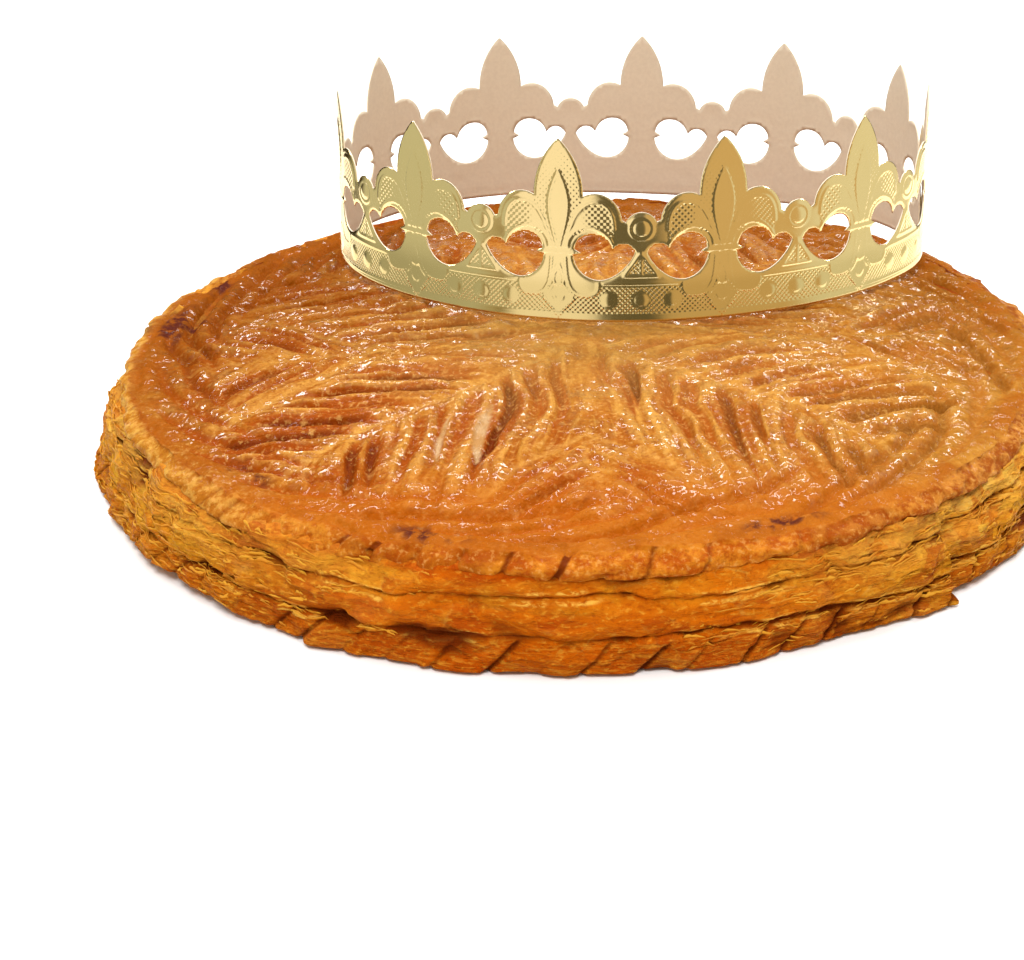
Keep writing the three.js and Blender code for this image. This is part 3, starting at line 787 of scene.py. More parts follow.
def flake_faces():
    """Faces of one flake: its outer sheet, its inner sheet, and the edge around them."""
    columns, rows = FLAKE_COLUMNS, FLAKE_ROWS
    sheet = columns * rows
    faces = []
    for row in range(rows - 1):
        for column in range(columns - 1):
            a = row * columns + column
            faces.append((a, a + 1, a + columns + 1, a + columns))
            faces.append((sheet + a, sheet + a + columns, sheet + a + columns + 1, sheet + a + 1))
    rim = list(range(columns)) + [columns * r + columns - 1 for r in range(1, rows)]
    rim += list(range(sheet - 2, sheet - columns - 1, -1)) + [columns * r for r in range(rows - 2, 0, -1)]
    return np.array(faces + [(b, a, sheet + a, sheet + b) for a, b in zip(rim, rim[1:] + rim[:1])])


def make_flakes(material):
    chances = np.random.default_rng(7)
    azimuth = chances.uniform(0, TURN, 9 * FLAKES)
    azimuth = azimuth[chances.uniform(0.1, 1.0, len(azimuth)) < flakiness(azimuth) ** 1.5][:FLAKES, None]
    count = len(azimuth)

    def draw(low, high):
        return chances.uniform(low, high, (count, 1))

    level = draw(1.5, 24.0)
    seam = np.where(draw(0, 1) < 0.5, seam_height(azimuth, 1), seam_height(azimuth, 2))
    level = np.where(draw(0, 1) < 0.4, seam + draw(-1.8, 1.2), level)
    half_length = draw(1.5, 6.5) * draw(0.5, 1)
    width = draw(0.4, 1.5)
    peel = draw(-0.15, 0.6)
    slope = chances.normal(0, 0.10, (count, 1))
    curl = draw(-0.5, 0.6)
    s, t = FLAKE_SHAPE.T[:, None]
    outline = np.clip(1 - s ** 2, 0, 1) ** 0.4 * (0.75 + 0.55 * noise(s * 4 + level * 7, level, 301))
    reach = t * width * np.clip(outline, 0, 1.3)
    run = azimuth + (s * half_length + t * width * curl) / FOOT_RADIUS
    radius, height = side_surface(run, level + slope * s * half_length)[:2]
    radius = radius - FLAKE_SINK + reach * np.sin(peel) * (1 + 0.4 * curl * s)
    height = height + reach * np.cos(peel)
    points = [polar(radius + side * FLAKE_THICKNESS / 2, run, height) for side in (1, -1)]
    size = 2 * len(FLAKE_SHAPE)
    faces = flake_faces()[None] + np.arange(count)[:, None, None] * size
    values = {
        "tip": np.tile(FLAKE_SHAPE[:, 1], 2 * count),
        "tone": np.repeat(chances.uniform(0, 1, count), size),
    }
    points = np.concatenate(points, 1).reshape(-1, 3)
    return mesh_piece("pastry_flakes", points, faces.reshape(-1, 4).tolist(), [material], values)


# ---- crown ----

PETAL_CENTRE = (10.2, 28.2)
PETAL_RADII = (7.4, 8.3)
PEARL = (MODULE / 2, 26.7)
PEARL_RADIUS = 4.6
PEARL_RING = 3.1
PEARL_BUTTON = 2.4
TIP = 0.25


def bezier(start, first, second, end, steps=12):
    share = np.linspace(0, 1, steps + 1)[:, None]
    start, first, second, end = (np.array(p, float) for p in (start, first, second, end))
    return (
        (1 - share) ** 3 * start
        + 3 * (1 - share) ** 2 * share * first
        + 3 * (1 - share) * share ** 2 * second
        + share ** 3 * end
    )


def curve(start, *bends):
    """Joined curves: each bend has two handles and an end, and the number of its steps if not 12."""
    line = [np.array([start], float)]
    for bend in bends:
        line.append(bezier(line[-1][-1], *bend)[1:])
    return np.concatenate(line)


def arc(centre, radii, first, last, steps):
    angle = np.linspace(first, last, steps + 1)
    return np.stack([centre[0] + radii[0] * np.cos(angle), centre[1] + radii[1] * np.sin(angle)], 1)


def mirrored(line):
    return np.stack([MODULE - line[:, 0], line[:, 1]], 1)[::-1]


def skyline():
    """The card's upper edge over one module, from one tip to the next."""
    tip = curve((TIP, CROWN_HEIGHT), ((4.4, 47.4), (6.9, 42), (6.9, 35.7), 18))
    left = np.concatenate([tip, arc(PETAL_CENTRE, PETAL_RADII, 2.03, 0.1, 18)])
    pearl = arc(PEARL, (PEARL_RADIUS, PEARL_RADIUS), 2.75, math.pi - 2.75, 16)
    return np.concatenate([left, pearl, mirrored(left)])


def kidney():
    """The hole on the right of a fleur-de-lis."""
    bends = curve(
        (4.2, 18.6),
        ((4.6, 14.5), (8, 11.9), (11.4, 11.9)),
        ((15.2, 11.9), (19.6, 15.8), (21.2, 19.8)),
        ((20.4, 21.8), (17.4, 23.6), (15, 20.4)),
        ((13.9, 23.6), (11.9, 24.9), (9.2, 24.9)),
        ((6.4, 24.9), (4.6, 22.8), (4.5, 20.6)),
    )
    return np.concatenate([bends, [(6.2, 19.6)]])


def within(points, polygon):
    """Which points lie inside a closed polygon."""
    x, y = points[:, 0], points[:, 1]
    inside = np.zeros(len(points), bool)
    for (x0, y0), (x1, y1) in zip(polygon, np.roll(polygon, -1, 0)):
        crosses = (y0 > y) != (y1 > y)
        with np.errstate(divide="ignore", invalid="ignore"):
            at = (x1 - x0) * (y - y0) / (y1 - y0) + x0
        inside ^= crosses & (x < at)
    return inside


def distance_to(points, line, closed=False):
    """Distance from each point to a line of straight pieces."""
    ends = np.roll(line, -1, 0) if closed else line[1:]
    starts = line if closed else line[:-1]
    best = np.full(len(points), FAR)
    for start, end in zip(starts, ends):
        run = end - start
        share = np.clip((points - start) @ run / max(run @ run, 1e-12), 0, 1)
        best = np.minimum(best, np.hypot(*(points - start - share[:, None] * run).T))
    return best


# Lines of the pressed pattern, over the half of a module to the right of a fleur's middle.
LANCET = curve((0, 43), ((1.6, 39.5), (2.8, 36.5), (2.8, 33.2)), ((2.8, 29), (1.3, 25), (0.5, 21.2)))
PETAL_LINE = curve(
    (1.6, 21.4),
    ((3.4, 27.5), (5, 33.9), (10.4, 34.1)),
    ((13.6, 34.2), (15.6, 31), (15.5, 26.4)),
)
HOLE_LINE = curve((2.6, 21.2), ((3, 26.4), (8, 28), (11.2, 26.2)), ((13, 25.4), (14.2, 23.9), (14.9, 22.4)))
SEPAL = curve((1.9, 18.4), ((2.2, 13.6), (2.2, 7.8), (6.6, 7.5)), ((9.6, 7.2), (11.4, 7.6), (11.2, 10.9)))
KITE = curve((1.4, 10.8), ((1.9, 9.2), (3.0, 8.0), (4.3, 7.2), 6), ((3.2, 4.9), (1.6, 2.8), (0, 1.7), 8))
SMILE = curve((1.3, 7.0), ((1.0, 5.9), (0.5, 5.6), (0, 5.6), 5))
DROP = curve((0.1, 16.6), ((0.9, 14), (1.6, 12.8), (1.4, 11.4), 8), ((1.3, 10.6), (0.6, 10.3), (0, 10.3), 5))
LANCET_SHAPE = np.concatenate([LANCET, [(-0.1, 21.2), (-0.1, 43)]])
PETAL_SHAPE = np.concatenate([PETAL_LINE, HOLE_LINE[::-1]])
SEPAL_SHAPE = np.concatenate([SEPAL, [(11.2, 18.4)]])
BAND_LINES = [(0.9, 0.0), (1.9, 0.0), (11.1, 12.2)]  # height, and where it starts along a module
TRIANGLE = np.array([(PEARL[0], 19.8), (PEARL[0] - 4.7, 13.1), (PEARL[0] + 0.1, 13.1)])
BOSSES = [0.0, 8.9]  # distance from a pearl's axis
BOSS_HEIGHT = 6.3
BEAD_STEP, BEAD_RADIUS, BEAD_LEVEL, BEADS_END = 1.06, 0.5, 19.7, 5.7
LINE_HEIGHT = 0.17
LINE_HALF = 0.38


def button(away, radius):
    """A round raised button, from 1 in its middle to 0 at its radius."""
    return np.sqrt(np.clip(1 - (away / radius) ** 2, 0, 1))


def emboss(points):
    """Height of the pressed pattern at points of one module, and its two dotted grounds."""
    u, v = np.minimum(points[:, 0], MODULE - points[:, 0]), points[:, 1]
    p = np.stack([u, v], 1)
    shapes = (LANCET_SHAPE, PETAL_SHAPE, SEPAL_SHAPE, TRIANGLE)
    lancet, petal, sepal, triangle = (within(p, shape) for shape in shapes)
    edge = np.minimum(distance_to(points, skyline()), distance_to(p, kidney(), True))
    height = 0.12 * lancet + 0.06 * petal - 0.14 * fading(edge, 0, 0.9)
    lines = [distance_to(p, line) for line in (LANCET, PETAL_LINE, HOLE_LINE, SEPAL, KITE, SMILE, DROP)]
    for away in lines:
        height += LINE_HEIGHT * ridge(away, LINE_HALF)
    for level, start in BAND_LINES:
        height += LINE_HEIGHT * ridge(v - level, LINE_HALF) * (u > start)
    from_pearl = np.abs(u - PEARL[0])
    away = np.hypot(from_pearl, v - PEARL[1])
    height += LINE_HEIGHT * ridge(away - PEARL_RING, LINE_HALF) + 0.30 * button(away, PEARL_BUTTON)
    beads = np.hypot(np.mod(u + BEAD_STEP / 2, BEAD_STEP) - BEAD_STEP / 2, v - BEAD_LEVEL)
    height += 0.22 * button(beads, BEAD_RADIUS) * (u < BEADS_END)
    slope = distance_to(p, TRIANGLE, True)
    height += LINE_HEIGHT * ridge(slope, LINE_HALF) * (from_pearl < 5.4)
    bosses = np.min([np.hypot(from_pearl - place, v - BOSS_HEIGHT) for place in BOSSES], 0)
    height += 0.20 * button(bosses, 2.0) + 0.04 * ridge(bosses - 2.4, 0.3)
    from_lancet, from_petal, from_hole, from_sepal = lines[:4]
    kite = np.abs(u) / 4.3 + np.abs(v - 7.0) / 5.2 < 1.05
    band = (v > 2.4) & (v < 9.9) & ~kite & (bosses > 2.7) & (from_sepal > 0.5) & ~sepal
    grid = petal * smoothstep(u, 6, 10) * (np.minimum(from_petal, from_hole) > 0.6)
    tip = (v > 25) & (u < 7) & (edge > 1.3) & ~lancet & ~petal & (from_lancet > 0.6) & (from_petal > 0.6)
    grid = np.maximum(grid, 0.7 * tip)
    return height, grid.astype(float), np.maximum(band, triangle & (slope > 0.6)).astype(float)


CARD_THICK = 0.44
FOIL_TILT = 0.25
OUTER_STEP = 0.49
INNER_STEP = 1.2
BORDER_STEP = 0.6
ABOVE = 60.0  # a height over the whole strip


def spaced(line, step):
    """The same line with points at even steps along it, its corners kept."""
    points = [line[:1]]
    for start, end in zip(line[:-1], line[1:]):
        count = max(1, round(np.hypot(*(end - start)) / step))
        share = np.linspace(0, 1, count + 1)[1:, None]
        points.append(start + (end - start) * share)
    return np.concatenate(points)


def module_lines(low, high, top, holes):
    """Lines along which the flat card of one module is cut, with points at even steps."""
    lines = [np.concatenate([[(0.0, CROWN_HEIGHT)], top, [(MODULE, CROWN_HEIGHT)]])]
    lines += [np.concatenate([hole, hole[:1]]) for hole in holes]
    lines += [np.array([(end, 0), (end, CROWN_HEIGHT)]) for end in (low, high)]
    return [spaced(line, BORDER_STEP) for line in lines + [np.array([(low, 0), (high, 0)])]]


def module_grid(low, high, step, lines, open_shapes):
    """Points in even rows over one module, away from its lines and out of its open shapes."""
    rows = []
    for number, v in enumerate(np.arange(step * 0.8, CROWN_HEIGHT, step * 0.866)):
        u = np.arange(low + step * 0.6 + (number % 2) * step / 2, high - step * 0.5, step)
        rows.append(np.stack([u, np.full(len(u), v)], 1))
    grid = np.concatenate(rows)
    grid = grid[np.min([distance_to(grid, line) for line in lines], 0) > 0.42 * step]
    for shape in open_shapes:
        grid = grid[~within(grid, shape)]
    return grid


def flat_module(low, high, step):
    """Points and triangles of the flat card between two lengths of one module."""
    top = skyline()
    holes = [kidney(), mirrored(kidney())]
    lines = module_lines(low, high, top, holes)
    open_shapes = [np.concatenate([top, [(MODULE - TIP, ABOVE), (TIP, ABOVE)]])] + holes
    points, edges = [], []
    for line in lines:
        edges += [(len(points) + i, len(points) + i + 1) for i in range(len(line) - 1)]
        points += [Vector(p) for p in line.tolist()]
    points += [Vector(p) for p in module_grid(low, high, step, lines, open_shapes).tolist()]
    found = delaunay_2d_cdt(points, edges, [], 0, 1e-5, False)
    corners = np.array([tuple(p) for p in found[0]])
    triangles = np.array(found[2])
    middle = corners[triangles].mean(1)
    keep = (middle > (low, 0)).all(1) & (middle < (high, CROWN_HEIGHT)).all(1)
    for shape in open_shapes:
        keep &= ~within(middle, shape)
    triangles = triangles[keep]
    a, b, c = (corners[triangles[:, i]] for i in range(3))
    area = (b[:, 0] - a[:, 0]) * (c[:, 1] - a[:, 1]) - (b[:, 1] - a[:, 1]) * (c[:, 0] - a[:, 0])
    real = np.abs(area) > 1e-7
    triangles, area = triangles[real], area[real]
    triangles[area < 0] = triangles[area < 0][:, ::-1]
    used, renumbered = np.unique(triangles, return_inverse=True)
    return corners[used], renumbered.reshape(-1, 3)


def strip_sheet(step):
    """Points and triangles of the whole flat strip, its modules merged."""
    pieces = [(flat_module(MODULE + STRIP_START, MODULE, step), -MODULE)]
    whole = flat_module(0.0, MODULE, step)
    pieces += [(whole, fleur * MODULE) for fleur in range(FLEURS - 1)]
    pieces.append((flat_module(0.0, STRIP_END - (FLEURS - 1) * MODULE, step), (FLEURS - 1) * MODULE))
    points, local, triangles, count = [], [], [], 0
    for (corners, faces), shift in pieces:
        points.append(corners + (shift, 0))
        local.append(corners)
        triangles.append(faces + count)
        count += len(corners)
    points, local, triangles = np.concatenate(points), np.concatenate(local), np.concatenate(triangles)
    _, first, where = np.unique(np.round(points, 3), axis=0, return_index=True, return_inverse=True)
    return points[first], local[first], where.ravel()[triangles]


def border_edges(triangles):
    """Directed edges that only one triangle has."""
    edges = np.concatenate([triangles[:, [0, 1]], triangles[:, [1, 2]], triangles[:, [2, 0]]])
    keyed = dict.fromkeys((a, b) for a, b in edges.tolist())
    return [(a, b) for a, b in keyed if (b, a) not in keyed]


def make_crown(materials):
    """The bent card: a fine outer face with the pattern, a coarser inner face, and cut edges."""
    points, local, triangles = strip_sheet(OUTER_STEP)
    inner_points, inner_local, inner_triangles = strip_sheet(INNER_STEP)
    height, grid, ground = emboss(local)
    out = card_points(*points.T, CARD_THICK / 2 + height)
    back = card_points(*inner_points.T, -CARD_THICK / 2 + 0.5 * emboss(inner_local)[0])
    count = len(points)
    twins = {tuple(p): index + count for index, p in enumerate(np.round(inner_points, 3).tolist())}
    flat_keys = [tuple(p) for p in np.round(points, 3).tolist()]
    outer = triangles.tolist()
    inner = (inner_triangles[:, ::-1] + count).tolist()
    edge = [(a, twins[flat_keys[a]], twins[flat_keys[b]], b) for a, b in border_edges(triangles)]
    slots = [0] * len(outer) + [1] * len(inner) + [2] * len(edge)
    blank = np.zeros(len(inner_points))
    values = {"grid": np.concatenate([grid, blank]), "ground": np.concatenate([ground, blank])}
    flat = np.concatenate([points, inner_points])
    faces = outer + inner + edge
    return mesh_piece("crown_card", np.concatenate([out, back]), faces, materials, values, flat, slots)


# ---- materials ----

SHADER_INPUTS = {
    "colour": "Base Color",
    "roughness": "Roughness",
    "specular": "Specular IOR Level",
    "metallic": "Metallic",
    "normal": "Normal",
    "coat": "Coat Weight",
    "coat_roughness": "Coat Roughness",
    "coat_ior": "Coat IOR",
    "coat_normal": "Coat Normal",
}


class Nodes:
    """Short ways to add and link shader nodes."""

    def __init__(self, block):
        """Takes a new material or world."""
        block.use_nodes = True
        self.block = block
        self.tree = block.node_tree

    def add(self, kind, **settings):
        node = self.tree.nodes.new(kind)
        for key, value in settings.items():
            setattr(node, key, value)
        return node

    def plug(self, socket, value):
        if isinstance(value, bpy.types.NodeSocket):
            self.tree.links.new(value, socket)
        else:
            socket.default_value = value

    def shade(self, **values):
        """Sets or links inputs of the shader. Gives the finished material."""
        for name, value in values.items():
            self.plug(self.tree.nodes["Principled BSDF"].inputs[SHADER_INPUTS[name]], value)
        return self.block

    def attribute(self, name):
        return self.add("ShaderNodeAttribute", attribute_name=name).outputs["Fac"]

    def math(self, operation, first, second=0.0, third=0.0):
        node = self.add("ShaderNodeMath", operation=operation)
        for socket, value in zip(node.inputs, (first, second, third)):
            self.plug(socket, value)
        return node.outputs[0]

    def times(self, first, second):
        return self.math("MULTIPLY", first, second)

    def vector(self, operation, first, second=(0, 0, 0), third=(0, 0, 0)):
        node = self.add("ShaderNodeVectorMath", operation=operation)
        for socket, value in zip(node.inputs, (first, second, third)):
            self.plug(socket, value)
        return node

    def place(self):
        return self.add("ShaderNodeTexCoord").outputs["Object"]

    def split(self, vector):
        node = self.add("ShaderNodeSeparateXYZ")
        self.plug(node.inputs[0], vector)
        return node.outputs

    def stretched(self, vector, scale):
        node = self.add("ShaderNodeMapping")
        self.plug(node.inputs["Vector"], vector)
        node.inputs["Scale"].default_value = scale
        return node.outputs[0]

    def texture(self, vector, scale, detail=2.0, roughness=0.5, distortion=0.0):
        node = self.add("ShaderNodeTexNoise")
        self.plug(node.inputs["Vector"], vector)
        settings = {"Scale": scale, "Detail": detail, "Roughness": roughness, "Distortion": distortion}
        for name, value in settings.items():
            node.inputs[name].default_value = value
        return node.outputs

    def noise(self, scale, detail=4.0, roughness=0.6, stretch=None, distortion=0.0):
        vector = self.stretched(self.place(), stretch) if stretch else self.place()
        return self.texture(vector, scale, detail, roughness, distortion)["Fac"]

    def fibres(self, across, along):
        """Fine streaks, from the place across and along them in millimetres."""
        both = self.add("ShaderNodeCombineXYZ")
        self.plug(both.inputs[0], self.times(across, 0.62))
        self.plug(both.inputs[1], self.times(along, 0.085))
        return self.texture(both.outputs[0], 1.0, 4.0, 0.62, 0.4)["Fac"]

    def skins(self, size, flat, stray):
        """Irregular flat cells: a chance tone for each, and the distance to its edge."""
        wobble = self.texture(self.place(), size * 1.3)["Color"]
        shift = self.vector("MULTIPLY_ADD", wobble, (stray, stray, stray), self.place())
        vector = self.stretched(shift.outputs[0], (1, 1, flat))
        tone = self.add("ShaderNodeTexVoronoi")
        edge = self.add("ShaderNodeTexVoronoi", feature="DISTANCE_TO_EDGE")
        for node in (tone, edge):
            self.plug(node.inputs["Vector"], vector)
            node.inputs["Scale"].default_value = size
        red = self.add("ShaderNodeSeparateColor")
        self.plug(red.inputs[0], tone.outputs["Color"])
        return red.outputs[0], edge.outputs["Distance"]

    def spread(self, value, low, high, to_low=0.0, to_high=1.0, kind="SMOOTHSTEP"):
        node = self.add("ShaderNodeMapRange", interpolation_type=kind)
        self.plug(node.inputs["Value"], value)
        for name, number in zip(("From Min", "From Max", "To Min", "To Max"), (low, high, to_low, to_high)):
            node.inputs[name].default_value = number
        return node.outputs[0]

    def mix(self, share, first, second):
        node = self.add("ShaderNodeMix", data_type="RGBA")
        for socket, value in zip((node.inputs[0], node.inputs[6], node.inputs[7]), (share, first, second)):
            if isinstance(value, tuple):
                value = (*value, 1.0)
            self.plug(socket, value)
        return node.outputs[2]

    def tint(self, colour, *tints):
        """Mixes in more colours, one after another. Before each stands its share, or else a value,
        where that value begins and ends to bring the colour in, and how much of it at most."""
        for *share, other in tints:
            share = share[0] if len(share) == 1 else self.spread(*share[:3], 0.0, share[3])
            colour = self.mix(share, colour, other)
        return colour

    def bump(self, height, distance, strength=1.0, under=None):
        node = self.add("ShaderNodeBump")
        self.plug(node.inputs["Height"], height)
        node.inputs["Distance"].default_value = distance
        node.inputs["Strength"].default_value = strength
        if under is not None:
            self.plug(node.inputs["Normal"], under)
        return node.outputs[0]

    def around(self, point, reach):
        """1 at a point, falling smoothly to 0 at a distance."""
        return self.spread(self.vector("DISTANCE", self.place(), point).outputs["Value"], reach, 0.0)

    def facing(self, degrees, width):
        """1 near an azimuth of the galette, falling smoothly to 0."""
        place = self.split(self.place())
        turn = math.radians(degrees)
        x, y = self.times(place[0], math.cos(turn)), self.times(place[1], math.sin(turn))
        facing = self.math("DIVIDE", self.math("ADD", x, y), FOOT_RADIUS * MM)
        return self.spread(facing, math.cos(math.radians(width)), 1.0)


def lid_colour(n, marks, fibre, broad, patch, middle):
    """The browns of the crust, from pale dough to burnt, with painted shade and a painted highlight."""
    cut, swell, streak, seam, opening, rim, burn = (
        marks[key] for key in ("cut", "swell", "streak", "seam", "opening", "rim", "burn")
    )
    fleck = n.noise(700.0, 3.0)
    toasted = n.times(n.spread(rim, 0.0, 1.0), n.spread(patch, 0.42, 0.6, 0.0, 0.75))
    top = n.tint(
        n.mix(n.spread(broad, 0.38, 0.62), (0.3, 0.084, 0.004), (0.4, 0.15, 0.016)),
        (patch, 0.42, 0.66, 0.6, (0.32, 0.068, 0.001)),
        (patch, 0.44, 0.3, 0.4, (0.48, 0.215, 0.024)),
        # Painted highlight on the swells between the cuts.
        (swell, 0.4, 1.0, 0.45, (0.58, 0.275, 0.055)),
        (streak, 0.1, 0.9, 0.55, (0.58, 0.28, 0.05)),
        (streak, -0.1, -0.9, 0.6, (0.24, 0.042, 0.001)),
        (fibre, 0.52, 0.7, 0.4, (0.56, 0.26, 0.05)),
        (fibre, 0.48, 0.32, 0.4, (0.26, 0.05, 0.001)),
        # Amber in the cuts and spiral grooves, with painted shade near black at their deepest.
        (cut, 0.05, 0.4, 0.9, (0.28, 0.046, 0.0)),
        (cut, 0.34, 0.9, 0.95, (0.12, 0.014, 0.0)),
        (seam, 0.2, 0.95, 0.36, (0.56, 0.285, 0.06)),
        (middle, 0.54, 0.7, 0.55, (0.56, 0.28, 0.07)),
        (middle, 0.46, 0.3, 0.6, (0.22, 0.04, 0.001)),
        (fleck, 0.54, 0.67, 0.42, (0.62, 0.33, 0.09)),
        (fleck, 0.46, 0.33, 0.5, (0.2, 0.036, 0.001)),
        # Painted shade: the crust darker towards the upper left, where less light falls.
        (n.times(n.facing(138, 88), 0.9), (0.2, 0.046, 0.001)),
        (n.times(n.facing(-15, 85), 0.55), (0.4, 0.18, 0.022)),
        # Painted shade towards the back, behind the crown.
        (n.times(n.facing(45, 85), 0.8), (0.24, 0.07, 0.004)),
        (n.times(n.around((0.0, 0.0, 0.03), 0.08), 0.5), (0.42, 0.225, 0.05)),
        (n.math("MINIMUM", n.times(n.facing(-92, 58), 1.6), 0.65), (0.38, 0.086, 0.001)),
        (toasted, (0.29, 0.072, 0.003)),
    )
    tan = n.mix(n.spread(middle, 0.42, 0.58), (0.2, 0.044, 0.004), (0.46, 0.2, 0.04))
    pale = n.mix(n.spread(middle, 0.44, 0.6), (0.42, 0.16, 0.012), (0.6, 0.33, 0.06))
    lip = n.tint(
        n.mix(n.spread(middle, 0.38, 0.62), (0.34, 0.056, 0.001), (0.54, 0.18, 0.012)),
        (broad, 0.5, 0.42, 0.6, (0.24, 0.038, 0.001)),
        (n.facing(165, 75), tan),
        (n.times(n.facing(180, 70), n.spread(rim, 1.05, 1.4)), pale),
        (n.times(n.facing(-5, 75), 0.8), tan),
        (fleck, 0.54, 0.66, 0.45, (0.66, 0.32, 0.08)),
        (fleck, 0.46, 0.34, 0.4, (0.2, 0.03, 0.001)),
    )
    speck = n.noise(330.0, 4.0, 0.65)
    burnt = n.times(n.spread(burn, 0.1, 0.7, 0.0, 0.95), n.spread(speck, 0.4, 0.52, 0.25, 1.0))
    return n.tint(
        top,
        (rim, 0.95, 1.4, 0.85, lip),
        # Painted shade in the nicks of the lip.
        (n.times(n.spread(cut, 0.2, 0.8), n.spread(rim, 0.9, 1.1)), (0.15, 0.024, 0.001)),
        (burnt, (0.07, 0.011, 0.007)),
        (opening, n.mix(n.spread(patch, 0.4, 0.6), (0.4, 0.2, 0.065), (0.47, 0.29, 0.14))),
    )


def lid_material():
    n = Nodes(bpy.data.materials.new("glazed_crust"))
    marks = {mark: n.attribute(mark) for mark in LID_MARKS}
    cut, rim = marks["cut"], marks["rim"]
    streaks = n.math("SUBTRACT", n.fibres(marks["run"], marks["aside"]), 0.5)
    fibre = n.math("MULTIPLY_ADD", streaks, marks["clear"], 0.5)
    broad, patch, middle = n.noise(28.0, 5.0), n.noise(95.0, 6.0, 0.62), n.noise(230.0, 6.0, 0.68)
    skin = n.bump(fibre, 0.0006, 0.8, n.bump(patch, 0.0018, 0.8))
    # The glaze lies in beads over the skin. They are smooth and wider than a pixel, so each one glints.
    beads = n.bump(n.noise(130.0, 1.0, 0.5), 0.002, 1.0)
    beads = n.bump(n.noise(400.0, 0.0, 0.5), 0.0011, 1.0, beads)
    ridges = n.math("MULTIPLY_ADD", marks["swell"], 0.1, n.noise(75.0, 2.0))
    ridges = n.math("MULTIPLY_ADD", n.facing(10, 88), 0.14, ridges)
    wet = n.times(n.spread(ridges, 0.435, 0.52), n.spread(n.noise(340.0, 1.0, 0.5), 0.37, 0.45))
    dry = n.times(n.spread(cut, 0.1, 0.5, 1.0, 0.15), n.spread(rim, 0.4, 1.1, 1.0, 0.1))
    dry = n.times(dry, n.math("MULTIPLY_ADD", n.facing(-95, 60), -0.7, 1.0))
    dry = n.times(dry, n.spread(n.math("MAXIMUM", marks["burn"], marks["opening"]), 0.0, 0.6, 1.0, 0.25))
    return n.shade(
        colour=lid_colour(n, marks, fibre, broad, patch, middle),
        roughness=0.45,
        specular=0.03,
        normal=n.bump(middle, 0.0012, 0.8, skin),
        coat=n.times(wet, dry),
        coat_roughness=0.03,
        coat_ior=1.45,
        coat_normal=beads,
    )


def side_base(n, level, patch, pale):
    """Toasted below, golden in the upper band, and paler dough where pale is 1. In front, the orange is
    partly a painted warm reflection.
    """
    broad, blotch = n.noise(22.0, 5.0, 0.6, (1, 1, 2.2)), n.noise(48.0, 5.0)
    upper = n.times(n.spread(level, 15.0, 17.0), n.spread(level, 23.5, 21.5))
    golden = n.times(upper, n.spread(n.noise(60.0), 0.42, 0.58))
    dough = n.tint(
        n.mix(n.spread(blotch, 0.54, 0.64), (0.56, 0.285, 0.014), (0.68, 0.42, 0.07)),
        (blotch, 0.46, 0.36, 0.75, (0.5, 0.155, 0.002)),
        (level, 12.0, 21.0, 0.55, (0.7, 0.46, 0.095)),
    )
    return n.tint(
        n.mix(n.spread(broad, 0.35, 0.68), (0.43, 0.062, 0.001), (0.5, 0.098, 0.001)),
        (n.times(upper, 0.5), (0.56, 0.15, 0.004)),
        (n.times(golden, 0.8), (0.62, 0.24, 0.01)),
        (patch, 0.52, 0.64, 0.5, (0.56, 0.19, 0.008)),
        (n.times(pale, 0.95), dough),
    )


